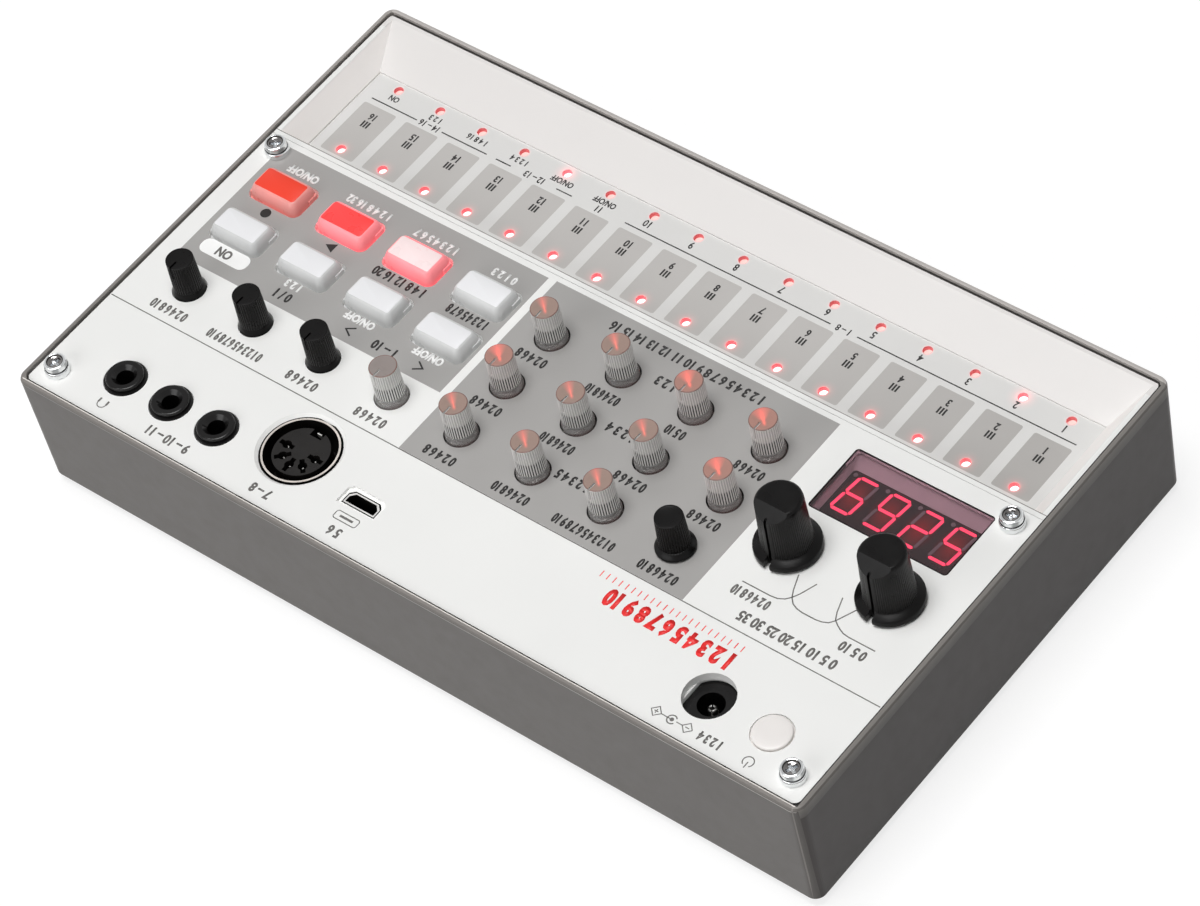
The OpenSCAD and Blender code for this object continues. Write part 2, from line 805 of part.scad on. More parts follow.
module midi_insert() {
    top = panel_z - din_insert_sink;
    base_top = board_top + din_base[1];
    color([0.09, 0.09, 0.09]) translate([DIN[0], DIN[1], 0]) difference() {
        union() {
            block([0, 0], din_base[0], din_base[0], board_top, base_top);
            post([0, 0], din_insert_d / 2, base_top - skin, top);
        }
        translate([-din_key[0] / 2, -din_insert_d / 2 - 1, base_top])
            cube([din_key[0], din_key[1] + 1, top - base_top + 1]);
        for (turn = [-90:45:90]) rotate(turn) {
            translate([-din_slot[0] / 2, din_slot_r - din_slot[1] / 2, top - din_slot[2]])
                cube([din_slot[0], din_slot[1], din_slot[2] + 1]);
            post([0, din_slot_r], din_contact_d / 2, top - din_slot[2], top + 1);
        }
    }
}

module midi_shield() {
    base_top = board_top + din_base[1];
    color([0.75, 0.74, 0.73]) translate([DIN[0], DIN[1], 0]) difference() {
        post([0, 0], din_inner_d / 2 + din_shield_t, base_top, panel_z - din_shield_sink);
        post([0, 0], din_inner_d / 2, base_top - 1, panel_z);
    }
}

// Outline of the small data port, grown by a gap: two front corners are cut off
module usb_outline(grow) {
    x = usb_w / 2 + grow;
    y = usb_d / 2 + grow;
    polygon([
        [-x, y], [x, y], [x, usb_bevel - y], [x - usb_bevel, -y], [usb_bevel - x, -y], [-x, usb_bevel - y]
    ]);
}

module usb_shell() {
    top = panel_z - usb_sink;
    color([0.72, 0.72, 0.72]) translate([USB[0], USB[1], board_top]) difference() {
        linear_extrude(top - board_top) usb_outline(0);
        translate([0, 0, -1]) linear_extrude(top - board_top + 2) usb_outline(-usb_t);
    }
}

module usb_insert() {
    color([0.06, 0.06, 0.06]) translate([USB[0], USB[1], board_top]) {
        linear_extrude(usb_floor) usb_outline(-usb_t - 0.05);
        block([0, 0], usb_tongue[0], usb_tongue[1], usb_floor - skin, usb_floor + usb_tongue[2]);
    }
}

// Outline of the power socket: a circle with one side cut flat
module barrel_outline(grow) {
    difference() {
        circle(barrel_body_d / 2 + grow);
        translate([barrel_flat + grow, -barrel_body_d]) square(2 * barrel_body_d);
    }
}

module power_jack() {
    top = panel_z - barrel_sink;
    color([0.08, 0.08, 0.08]) translate([BARREL[0], BARREL[1], 0]) difference() {
        translate([0, 0, board_top]) linear_extrude(top - board_top) barrel_outline(0);
        post([0, 0], barrel_d / 2, board_top + barrel_floor, top + 1);
    }
}

module power_jack_pin() {
    color([0.8, 0.79, 0.77])
        post(BARREL, centre_pin_d / 2, board_top + barrel_floor, panel_z - barrel_sink - centre_pin_sink);
}

// ---- Under the knobs and buttons ----

module pot_body(place, w, h, bore_d) {
    difference() {
        block(place, w, w, board_top, board_top + h);
        post(place, bore_d / 2 + turn_gap, board_top - 1, board_top + h + 1);
    }
}

module knob_pots() {
    color([0.2, 0.35, 0.3]) for (place = concat(CLEAR_KNOBS, BLACK_KNOBS))
        pot_body([col_x(place[0]), row_y(place[1])], pot_w, pot_h, knob_shaft_d);
}

module encoder_body() {
    color([0.3, 0.3, 0.32]) pot_body(SELECT, pot_w + 0.8, pot_h, knob_shaft_d);
}

module large_pots() {
    bush_top = panel_under - seat_gap;
    color([0.32, 0.32, 0.33]) for (place = [BASS, TREBLE]) difference() {
        union() {
            block(place, big_pot_w, big_pot_w, board_top, pot_top);
            post(place, big_bush_d / 2, pot_top - skin, bush_top);
        }
        post(place, big_shaft_d / 2 + turn_gap, board_top + 1, bush_top + 1);
    }
}

module panel_leds() {
    color([1, 0.4, 0.4]) {
        for (place = LIT_KNOBS)
            block([col_x(place[0]), row_y(place[1])], led_h + 0.4, led_h + 0.4, board_top, board_top + led_h);
        for (place = BUTTONS)
            block([col_x(place[0]) + switch_w / 2 + 1.3, button_y(place[1])], led_h, led_h,
                  board_top, board_top + led_h);
    }
}

module button_switches() {
    color([0.25, 0.25, 0.26]) for (place = SWITCHES) {
        block(place, switch_w, switch_w, board_top, board_top + switch_h);
        post(place, plunger_d / 2, board_top + switch_h - skin, plunger_top);
    }
}

// ---- Knobs ----

module small_knob(place, paint) {
    top = panel_z + knob_h;
    collar_top = panel_z + collar_rise;
    bevel = 0.3;
    neck_r = 2.6;
    end = board_top + led_h + 0.4;
    color(paint) translate([col_x(place[0]), row_y(place[1]), 0]) difference() {
        rotate_extrude() polygon([
            [0, end], [knob_shaft_d / 2, end], [knob_shaft_d / 2, pot_top + seat_gap],
            [neck_r, pot_top + seat_gap], [neck_r, panel_z - collar_sink],
            [collar_d / 2, panel_z - collar_sink], [collar_d / 2, collar_top - bevel],
            [collar_d / 2 - bevel, collar_top], [knob_base_d / 2, collar_top],
            [knob_top_d / 2, top - bevel], [knob_top_d / 2 - bevel, top], [0, top]
        ]);
        translate([-slit_w / 2, knob_top_d / 2 - slit_l, top - 0.5]) cube([slit_w, slit_l + 1, 1]);
        translate([-slit_w / 2, knob_top_d / 2 - 0.4, top - slit_drop]) cube([slit_w, 2, slit_drop]);
    }
}

module clear_knob(col, row) {
    small_knob([col, row], [0.78, 0.74, 0.72, 0.6]);
}

module black_knob(col, row) {
    small_knob([col, row], [0.08, 0.08, 0.08]);
}

module select_knob() {
    top = panel_z + knob_h + 0.2;
    base = panel_z + seat_gap;
    skirt_top = base + select_skirt_h;
    bevel = 0.4;
    end = board_top + 1;
    color([0.08, 0.08, 0.08]) translate([SELECT[0], SELECT[1], 0]) rotate_extrude() polygon([
        [0, end], [knob_shaft_d / 2, end], [knob_shaft_d / 2, pot_top + seat_gap],
        [collar_d / 2 - 0.2, pot_top + seat_gap], [collar_d / 2 - 0.2, base],
        [select_skirt_d / 2, base], [select_skirt_d / 2, skirt_top - bevel],
        [select_skirt_d / 2 - bevel, skirt_top], [knob_base_d / 2 + 0.3, skirt_top + bevel],
        [knob_top_d / 2, top - bevel], [knob_top_d / 2 - bevel, top], [0, top]
    ]);
}

module big_knob(place) {
    top = panel_z + big_knob_h;
    base = panel_z + big_gap;
    skirt_top = base + big_skirt_h;
    bevel = 0.5;
    socket_r = big_shaft_d / 2 + screw_gap;
    color([0.08, 0.08, 0.08]) translate([place[0], place[1], 0]) difference() {
        rotate_extrude() polygon([
            [socket_r, base], [big_skirt_d / 2, base], [big_skirt_d / 2, skirt_top - bevel],
            [big_skirt_d / 2 - bevel, skirt_top], [big_body_d / 2, skirt_top],
            [big_top_d / 2, top - big_shoulder], [big_top_d / 2 - big_shoulder / 2, top - big_shoulder / 4],
            [big_top_d / 2 - big_shoulder, top], [0, top],
            [0, base + big_socket_l], [socket_r, base + big_socket_l]
        ]);
        translate([-big_top_d, big_face_chord, top]) rotate([-big_face_slope, 0, 0])
            cube([2 * big_top_d, big_top_d, big_top_d]);
        translate([-big_notch_w / 2, big_body_d / 2, base - 1])
            cube([big_notch_w, big_skirt_d, big_skirt_h + 1.5]);
        groove_lean = atan((big_body_d - big_top_d) / 2 / (top - skirt_top));
        translate([0, big_body_d / 2 - big_groove_depth, skirt_top]) rotate([groove_lean, 0, 0])
            translate([-big_groove_w / 2, 0, -0.5]) cube([big_groove_w, 3, big_knob_h]);
    }
}

module big_shaft(place) {
    end = board_top + 1.5;
    tip = panel_z + big_gap + big_socket_l - seat_gap;
    color([0.7, 0.7, 0.7]) translate([place[0], place[1], 0]) difference() {
        post([0, 0], big_shaft_d / 2, end, tip);
        translate([-big_shaft_d / 2, big_shaft_d / 2 - flat_depth, panel_z + big_gap])
            cube([big_shaft_d, big_shaft_d, big_socket_l + 1]);
    }
}

// ---- Buttons ----

// Outline of a push button where it passes the panel, grown by a gap
module button_outline(grow) {
    round_rect(button_w + 2 * grow, button_d + 2 * grow, button_r + grow);
}

module push_button(col, row, paint) {
    flange_top = panel_under - seat_gap;
    foot_top = panel_z + button_foot;
    top = panel_z + button_rise;
    side = (button_w - button_top_w) / 2;
    slope = (button_d - button_top_d) / 2;
    rise = top - foot_top;
    color(paint) translate([col_x(col), button_y(row), 0]) {
        translate([0, 0, flange_top - skin]) linear_extrude(foot_top - flange_top + skin) button_outline(0);
        hull() {
            layer(button_w - 0.5 * side, button_d - 0.3 * slope, button_r, foot_top);
            layer(button_w - 0.8 * side, button_d - 0.7 * slope, button_r, foot_top + 0.5 * rise);
            layer(button_w - 1.4 * side, button_d - 1.5 * slope, button_r, foot_top + 0.85 * rise);
            layer(button_top_w, button_top_d, button_r / 2, top - skin);
        }
        translate([0, 0, flange_top - button_flange_t]) linear_extrude(button_flange_t)
            round_rect(button_w + 2 * button_flange, button_d + 2 * button_flange, button_r);
        post([0, 0], stem_d / 2, stem_end, flange_top - button_flange_t + skin);
    }
}

module power_button() {
    flange_top = panel_under - seat_gap;
    color([0.93, 0.93, 0.91]) translate([POWER[0], POWER[1], 0]) {
        post([0, 0], power_d / 2, flange_top - skin, panel_z);
        translate([0, 0, panel_z - skin]) cylinder(r1 = power_d / 2, r2 = power_d / 2 - 0.8, h = power_dome);
        post([0, 0], power_d / 2 + button_flange, flange_top - button_flange_t, flange_top);
        post([0, 0], stem_d / 2, stem_end, flange_top - button_flange_t + skin);
    }
}

// ---- Battery bay parts ----

module battery_cells() {
    row_l = cells_in_row * cell_l;
    nub = [5.5, 1];
    for (row = [-1, 1]) color([0.35, 0.36, 0.38])
        translate([-row * spring_l / 2, row_centre(row), cell_z])
            for (i = [0:cells_in_row - 1])
                translate([-row * (i * cell_l - row_l / 2), 0, 0]) rotate([0, -90 * row, 0]) {
                    cylinder(r = cell_d / 2, h = cell_l - nub[1] - 0.1);
                    translate([0, 0, cell_l - nub[1] - 0.1 - skin]) cylinder(r = nub[0] / 2, h = nub[1]);
                }
}

// Spring of touching turns that narrows from its plate to its tip
module contact_spring() {
    turns = 9;
    pitch = (spring_l - spring_wire) / turns;
    for (i = [0:turns]) translate([0, 0, spring_wire / 2 + i * pitch]) rotate_extrude()
        translate([4.6 - 0.26 * i, 0]) circle(spring_wire / 2, $fn = 16);
}

// One plate joins both rows at the right, and each row has its own plate at the left
module battery_contacts() {
    end_x = bay_l / 2;
    color([0.72, 0.71, 0.68]) {
        translate([end_x - contact_t / 2, bay_y, cell_z])
            cube([contact_t, contact_w + cell_d + row_gap, contact_w], center = true);
        for (row = [-1, 1]) translate([0, row_centre(row), cell_z]) {
            translate([contact_t / 2 - end_x, 0, 0]) cube([contact_t, contact_w, contact_w], center = true);
            translate([row * (end_x - contact_t + skin), 0, 0]) rotate([0, -90 * row, 0]) contact_spring();
        }
    }
}

// Wire from a left contact plate out through the bay wall, back and up to the main board
module battery_lead(row, paint) {
    out_x = bay_l / 2 + bay_wall + lead_out;
    end_y = split_y + (row < 0 ? lead_back : 2 * lead_back);
    start = [-bay_l / 2, row_centre(row), lead_z(row)];
    color(paint) {
        translate(start) rotate([0, -90, 0]) cylinder(r = lead_d / 2, h = out_x - bay_l / 2);
        translate([-out_x, start[1] + lead_bend, start[2]]) rotate([0, 0, 180])
            rotate_extrude(angle = 90) translate([lead_bend, 0]) circle(lead_d / 2);
        translate([-out_x - lead_bend, start[1] + lead_bend, start[2]]) rotate([-90, 0, 0])
            cylinder(r = lead_d / 2, h = end_y - start[1] - 2 * lead_bend);
        translate([-out_x - lead_bend, end_y - lead_bend, start[2] + lead_bend]) rotate([0, -90, 0])
            rotate([0, 0, 90]) rotate_extrude(angle = 90) translate([lead_bend, 0]) circle(lead_d / 2);
        translate([-out_x - lead_bend, end_y, start[2] + lead_bend])
            cylinder(r = lead_d / 2, h = board_under - start[2] - lead_bend);
    }
}

module battery_leads() {
    battery_lead(1, [0.6, 0.08, 0.07]);
    battery_lead(-1, [0.06, 0.06, 0.06]);
}

module battery_door() {
    color([0.44, 0.42, 0.41]) difference() {
        union() {
            translate([-door_l / 2, hinge_y, hinge_z]) rotate([90, 0, 90]) linear_extrude(door_l) {
                circle(door_t / 2);
                translate([door_t / 2 - door_w, -door_t / 2]) square([door_w - door_t / 2, door_t]);
            }
            for (sx = [-1, 1]) {
                block([sx * hook_x, door_rear - hook_root], hook_w, hook_root, hinge_z, case_z + hook_rise);
                block([sx * hook_x, door_rear + (hook_reach - hook_root) / 2], hook_w, hook_reach + hook_root,
                      case_z + hook_rise - hook_t, case_z + hook_rise);
            }
        }
        post([0, bay_y - door_w / 2 + thumb_r + thumb_inset], thumb_r, case_z - 1, case_z + thumb_depth);
    }
}

// ---- Named knobs and buttons, by column and row ----

module start_point_knob() clear_knob(2, 1);
module length_knob() clear_knob(3, 1);
module hi_cut_knob() clear_knob(4, 1);
module tempo_knob() clear_knob(5, 1);
module swing_knob() black_knob(6, 1);
module reverb_mix_knob() black_knob(7, 1);
module volume_knob() black_knob(8, 1);
module speed_knob() clear_knob(1, 2);
module pitch_depth_knob() clear_knob(2, 2);
module pitch_attack_knob() clear_knob(3, 2);
module pitch_decay_knob() clear_knob(4, 2);
module level_knob() clear_knob(1, 3);
module pan_knob() clear_knob(2, 3);
module amp_attack_knob() clear_knob(3, 3);
module amp_decay_knob() clear_knob(4, 3);
module bass_knob() big_knob(BASS);
module bass_shaft() big_shaft(BASS);
module treble_knob() big_knob(TREBLE);
module treble_shaft() big_shaft(TREBLE);
module reverse_button() push_button(5, 1, [0.9, 0.9, 0.9]);
module reverb_button() push_button(6, 1, [0.9, 0.9, 0.9]);
module mute_button() push_button(7, 1, [0.9, 0.9, 0.9]);
module function_button() push_button(8, 1, [0.9, 0.9, 0.9]);
module memory_button() push_button(5, 2, [0.9, 0.9, 0.9]);
module step_mode_button() push_button(6, 2, [0.98, 0.85, 0.86]);
module play_button() push_button(7, 2, [1, 0.32, 0.3]);
module record_button() push_button(8, 2, [0.98, 0.3, 0.22]);

bottom_case();
control_plate();
key_frame();
key_overlay();
key_board();
key_leds();
main_board();
board_parts();
link_cable();
display_module();
display_window();
plate_screws();
frame_screws();
board_screws();
feet();
battery_cells();
battery_contacts();
battery_leads();
battery_door();
phone_jacks();
midi_shield();
midi_insert();
usb_shell();
usb_insert();
power_jack();
power_jack_pin();
knob_pots();
encoder_body();
large_pots();
panel_leds();
button_switches();
select_knob();
start_point_knob();
length_knob();
hi_cut_knob();
tempo_knob();
swing_knob();
reverb_mix_knob();
volume_knob();
speed_knob();
pitch_depth_knob();
pitch_attack_knob();
pitch_decay_knob();
level_knob();
pan_knob();
amp_attack_knob();
amp_decay_knob();
bass_knob();
bass_shaft();
treble_knob();
treble_shaft();
reverse_button();
reverb_button();
mute_button();
function_button();
memory_button();
step_mode_button();
play_button();
record_button();
power_button();
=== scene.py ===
# Looks of a desktop drum machine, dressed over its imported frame. Lengths are in metres, and MM turns
# millimetres into metres. X runs to the right, Y to the rear and Z up.
import math

import bmesh
import bpy
from mathutils import Matrix, Vector


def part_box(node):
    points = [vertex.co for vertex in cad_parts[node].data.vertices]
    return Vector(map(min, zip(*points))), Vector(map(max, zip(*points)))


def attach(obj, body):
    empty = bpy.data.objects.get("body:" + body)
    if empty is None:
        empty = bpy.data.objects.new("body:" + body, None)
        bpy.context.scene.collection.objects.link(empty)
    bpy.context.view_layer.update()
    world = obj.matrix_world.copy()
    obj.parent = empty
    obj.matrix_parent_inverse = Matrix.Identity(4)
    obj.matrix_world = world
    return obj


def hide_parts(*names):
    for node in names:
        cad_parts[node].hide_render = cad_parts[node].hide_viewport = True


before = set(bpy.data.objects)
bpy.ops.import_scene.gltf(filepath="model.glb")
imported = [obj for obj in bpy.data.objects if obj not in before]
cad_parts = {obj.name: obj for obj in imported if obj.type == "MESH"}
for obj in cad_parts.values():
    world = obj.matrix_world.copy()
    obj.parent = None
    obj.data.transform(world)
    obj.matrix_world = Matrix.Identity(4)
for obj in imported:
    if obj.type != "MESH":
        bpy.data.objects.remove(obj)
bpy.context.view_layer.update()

MM = 0.001
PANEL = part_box("control_plate")[1].z
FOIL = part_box("key_overlay")[1].z
KEY_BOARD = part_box("key_board")[1].z
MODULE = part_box("display_module")[1].z
KEY_COUNT = 16
KEY_PITCH = 11.12 * MM
STEP_LIGHT_Y = -24.8 * MM
PART_LIGHT_Y = -43.1 * MM


def centre(node):
    lo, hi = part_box(node)
    return (lo + hi) / 2


def rgb(red, green, blue):
    """Linear colour of an sRGB triple from 0 to 255."""
    def linear(value):
        share = value / 255
        return share / 12.92 if share <= 0.04045 else ((share + 0.055) / 1.055) ** 2.4
    return (linear(red), linear(green), linear(blue), 1.0)


# ---- Materials ----

MATERIALS = {}


def math_node(operation):
    """Method of a Value that adds a math node."""
    def method(self, *others):
        return self.nodes.math(operation, self, *others)
    return method


class Value:
    """A number that nodes work out. Arithmetic and comparisons with it add math nodes, and | is either."""

    __add__ = __radd__ = math_node("ADD")
    __sub__ = math_node("SUBTRACT")
    __mul__ = math_node("MULTIPLY")
    __truediv__ = math_node("DIVIDE")
    __pow__ = math_node("POWER")
    __gt__ = math_node("GREATER_THAN")
    __lt__ = math_node("LESS_THAN")
    __abs__ = math_node("ABSOLUTE")
    __or__ = math_node("MAXIMUM")
    least = math_node("MINIMUM")
    sine = math_node("SINE")
    root = math_node("SQRT")
    fraction = math_node("FRACT")

    def __init__(self, nodes, socket):
        self.nodes = nodes
        self.socket = socket

    def __rsub__(self, other):
        return self.nodes.math("SUBTRACT", other, self)

    def between(self, low, high):
        return (self > low) * (self < high)

    def ramp(self, from_lo, from_hi, to_lo, to_hi, smooth=False):
        kind = "SMOOTHSTEP" if smooth else "LINEAR"
        node = self.nodes.add("ShaderNodeMapRange", interpolation_type=kind, clamp=True)
        return self.nodes.feed(node, self, from_lo, from_hi, to_lo, to_hi)

    def halo(self, start, end, strength, power):
        """Glow that falls from strength at start to nothing at end."""
        return self.ramp(start, end, 1.0, 0.0) ** power * strength


class Nodes:
    """Nodes of a material or of the sky. Its x, y and z are those of one output of Texture Coordinate."""

    def __init__(self, owner, way):
        owner.use_nodes = True
        self.tree = owner.node_tree
        self.place = self.add("ShaderNodeTexCoord").outputs[way]
        split = self.add("ShaderNodeSeparateXYZ")
        self.put(split.inputs[0], self.place)
        self.x, self.y, self.z = [Value(self, socket) for socket in split.outputs]

    def add(self, kind, **settings):
        node = self.tree.nodes.new(kind)
        for key, value in settings.items():
            setattr(node, key, value)
        return node

    def put(self, socket, value):
        if isinstance(value, Value):
            value = value.socket
        if isinstance(value, bpy.types.NodeSocket):
            self.tree.links.new(value, socket)
        else:
            socket.default_value = value

    def feed(self, node, *values):
        """Puts values into a node's first inputs, and gives its first output."""
        for socket, value in zip(node.inputs, values):
            self.put(socket, value)
        return Value(self, node.outputs[0])

    def math(self, operation, *values):
        return self.feed(self.add("ShaderNodeMath", operation=operation), *values)

    def seen(self):
        """1 for rays from the camera, and for those that mirrors and glass pass on."""
        path = self.add("ShaderNodeLightPath").outputs
        camera, glossy, through = [
            Value(self, path[kind]) for kind in ("Is Camera Ray", "Is Glossy Ray", "Is Transmission Ray")
        ]
        return camera | glossy | through


class Shader(Nodes):
    """A material with one Principled shader, whose colour, roughness and bump come from nodes."""

    def __init__(self, name, colour):
        self.material = MATERIALS[name] = bpy.data.materials.new(name)
        super().__init__(self.material, "Object")
        self.out = self.tree.nodes["Principled BSDF"]
        self.colour = colour

    def set(self, **sockets):
        """Fills the shader's own sockets, with _ for a space in a name."""
        for key, value in sockets.items():
            self.put(self.out.inputs[key.replace("_", " ")], value)

    def within(self, x0, x1, y0, y1):
        return self.x.between(x0, x1) * self.y.between(y0, y1)

    def reach(self, dx, dy):
        """Length of the flat vector (dx, dy)."""
        return (dx * dx + dy * dy).root()

    def turn(self):
        """Angle round Z from +Y."""
        return self.math("ARCTAN2", self.x, self.y)

    def mix(self, share, a, b, blend="MIX"):
        node = self.add("ShaderNodeMix", data_type="RGBA", blend_type=blend)
        self.put(node.inputs[0], share)
        self.put(node.inputs[6], a)
        self.put(node.inputs[7], b)
        return node.outputs[2]

    def noise(self, size, detail=2.0):
        """Noise from 0 to 1 whose spots are about size across."""
        node = self.add("ShaderNodeTexNoise")
        node.inputs["Scale"].default_value = 1 / size
        node.inputs["Detail"].default_value = detail
        self.put(node.inputs["Vector"], self.place)
        return Value(self, node.outputs[0])

    def cover(self, share, colour):
        """Lays another colour over the base colour where share is 1."""
        self.colour = self.mix(share, self.colour, colour)

    def paint(self, mottle=0.03, size=9 * MM):
        """Puts the base colour on, a little lighter and darker in soft patches."""
        shade = self.noise(size).ramp(0.3, 0.7, 1 - mottle, 1 + mottle)
        self.set(Base_Color=self.mix(1.0, self.colour, shade, "MULTIPLY"))

    def rough(self, roughness, spread=0.05):
        self.set(Roughness=self.noise(3 * MM, 4.0).ramp(0.3, 0.7, roughness - spread, roughness + spread))

    def surface(self, roughness, grain=0.35 * MM, depth=0.006 * MM, **sockets):
        """Roughness, a fine grain, and what else its sockets hold."""
        self.rough(roughness)
        node = self.add("ShaderNodeBump")
        node.inputs["Strength"].default_value = 1.0
        node.inputs["Distance"].default_value = depth
        self.put(node.inputs["Height"], self.noise(grain, 3.0))
        self.set(Normal=node.outputs[0], **sockets)

    def glow(self, colour, strength):
        self.set(Emission_Color=colour, Emission_Strength=strength)


def finish(name, colour, roughness, grain=0.35 * MM, depth=0.006 * MM, mottle=0.03, **sockets):
    """A plain moulded, painted or metal finish."""
    shader = Shader(name, colour)
    shader.surface(roughness, grain, depth, **sockets)
    shader.paint(mottle)


WHITE = rgb(240, 240, 238)
BLOCK_GREY = rgb(164, 162, 160)
HOLE_SHADE = rgb(26, 25, 24)
PRINT_BLOCKS = [(-49.4, 19.6, -17.3, 30.9), (21.5, 90.7, -17.1, 16.3)]
SOCKET_AREA = (0.0, 50.0, 33.0, 50.0)
SOCKET_SHADE_DEPTH = 0.64 * MM
SKIN = 0.05 * MM


def panel_material():
    """White plate with two printed grey blocks on its top. The walls of the holes of the knobs and the window
    have painted shade on them, and so have the sockets below a depth. The walls of the other holes are
    white with a faint painted glow."""
    shader = Shader("panel_white", WHITE)
    shader.surface(0.42, 0.5 * MM, 0.002 * MM)
    knobs, buttons, sockets = [
        shader.within(*[side * MM for side in block]) for block in (*PRINT_BLOCKS, SOCKET_AREA)
    ]
    on_top = shader.z > PANEL - SKIN
    below = 1.0 - on_top
    shader.cover((knobs + buttons) * on_top, BLOCK_GREY)
    lo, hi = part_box("display_window")
    window = shader.within(lo.x, hi.x, lo.y, hi.y)
    # Painted shade: dark walls in the knob holes and the window hole, and dark sockets below a depth.
    deep = (shader.z < PANEL - SOCKET_SHADE_DEPTH) * sockets
    dark = (knobs | window) * below | deep
    shader.cover(dark, HOLE_SHADE)
    shader.paint(0.012, 25 * MM)
    # Painted light: a faint white glow on the walls of the other holes.
    shader.glow(WHITE, below * (1.0 - dark) * 0.1)


SUNK_FRONT = -45 * MM
SUNK_REAR = -19.7 * MM
SUNK_HALF = 90 * MM
MITRE = 0.4
PANEL_FRONT = 52.6 * MM
FRAME_FRONT = 55.76 * MM
SIDE_WALL_LIT = rgb(249, 245, 242)
LONG_WALL_SHADED = rgb(227, 224, 222)


def frame_material():
    """White frame with painted light and shade. The strip in front of the panel is painted a little greyer as
    shade, and its front edge dark as the shadow of the gap to the case. A fine dark line runs behind the
    sunk keys. Of the walls round the sunk keys, the side walls have a painted highlight and the long
    sloping wall before them painted shade."""
    shader = Shader("frame_white", WHITE)
    shader.surface(0.38, 0.5 * MM, 0.002 * MM)
    y = shader.y
    # Painted shade on the strip in front of the panel, and painted shadow of the gap along its front edge.
    shader.cover(y < -PANEL_FRONT, rgb(230, 227, 225))
    shader.cover(y < -FRAME_FRONT, rgb(40, 37, 36))
    shader.cover(y.between(SUNK_REAR, SUNK_REAR + 0.16 * MM), rgb(120, 114, 110))
    # Painted light and shade on the walls of the sunk keys: lighter side walls, a greyer long wall.
    long_wall = abs(shader.x) - SUNK_HALF < (SUNK_FRONT - y) * MITRE
    sunk = shader.z.ramp(PANEL - 0.35 * MM, PANEL - 0.02 * MM, 1.0, 0.0)
    shader.cover(sunk, shader.mix(long_wall, SIDE_WALL_LIT, LONG_WALL_SHADED))
    shader.paint(0.008, 30 * MM)


CASE_GREY = rgb(124, 120, 117)
CASE_SHADE = rgb(103, 98, 96)
RIM_LIT_GREY = rgb(136, 132, 128)
CASE_HALF = (96.5 * MM, 57.5 * MM)
RIM_TOP = 31.2 * MM
RIM_INNER = (95.35 * MM, 56.35 * MM)
EDGE_HIGHLIGHT_Z = 30.12 * MM
CORNER_HIGHLIGHT_X = -94.95 * MM


def case_material():
    """Grey moulded case with light and shade painted on: a painted reflection on the rounded top of the left
    wall over painted shade below it, a rim painted lighter where the light falls on it, painted highlights
    along the rear edge and down the rear wall by its left corner, a painted highlight just outside the
    rim's inner edge at the rear, and painted shadow of the gap to the panel on the rim's inner edge."""
    shader = Shader("case_plastic", CASE_GREY)
    shader.surface(0.36, 0.28 * MM, 0.01 * MM, Specular_IOR_Level=0.16)
    x, y, z = shader.x, shader.y, shader.z
    wall_x, wall_y = CASE_HALF
    inner_x, inner_y = RIM_INNER

    # Left wall: a painted reflection, lighter towards the rim, over painted shade below it.
    upward = z.ramp(RIM_TOP - 3.0 * MM, RIM_TOP - 1.0 * MM, 0.0, 1.0)
    band = shader.mix(upward, rgb(138, 134, 130), rgb(172, 167, 162))
    high = z.ramp(RIM_TOP - 3.3 * MM, RIM_TOP - 2.9 * MM, 0.0, 1.0, True)
    shader.cover(x < -wall_x + 0.6 * MM, shader.mix(high, CASE_SHADE, band))

    # Rim painted lighter where the light falls on it, most at the front and on the right towards the front.
    rim = z > RIM_TOP - 0.75 * MM
    shader.cover(rim, RIM_LIT_GREY)
    shader.cover(rim * y.between(-wall_y + 0.15 * MM, -inner_y + 0.2 * MM), rgb(196, 191, 187))
    along = y.ramp(-45 * MM, 35 * MM, 0.0, 1.0)
    right_rim_light = shader.mix(along, rgb(166, 161, 157), rgb(130, 126, 123))
    shader.cover(rim * x.between(inner_x - 0.2 * MM, wall_x - 0.15 * MM), right_rim_light)

    # Painted highlights along the rear edge and down the rear wall by its left corner.
    rear = y > wall_y - 0.5 * MM
    line = rear * z.between(EDGE_HIGHLIGHT_Z - 0.1 * MM, EDGE_HIGHLIGHT_Z + 0.12 * MM)
    shader.cover(line * x.ramp(-94 * MM, 70 * MM, 1.0, 0.35), rgb(222, 217, 212))
    shader.cover(rear * x.between(CORNER_HIGHLIGHT_X - 0.14 * MM, CORNER_HIGHLIGHT_X + 0.14 * MM), rgb(162, 157, 153))

    # Painted highlight just outside the rim's inner edge at the rear, and painted shadow of the gap to the
    # panel on the rim's inner edge at the rear and left.
    top = z > RIM_TOP - 0.1 * MM
    light = shader.within(-inner_x - 0.3 * MM, inner_x, inner_y + 0.2 * MM, inner_y + 0.42 * MM)
    shader.cover(light * top, rgb(224, 219, 214))
    gap = shader.within(-inner_x - 0.2 * MM, inner_x, -inner_y, inner_y + 0.2 * MM)
    near = ((y > 0.0) | (x < 0.0)) * (y > -inner_y + 1 * MM) * (x < inner_x - 1 * MM)
    shader.cover(gap * top * near, rgb(34, 32, 31))
    shader.paint(0.03, 12 * MM)


HEAD_R, HEAD_H, DISH_R = 2.55, 2.9, 1.7


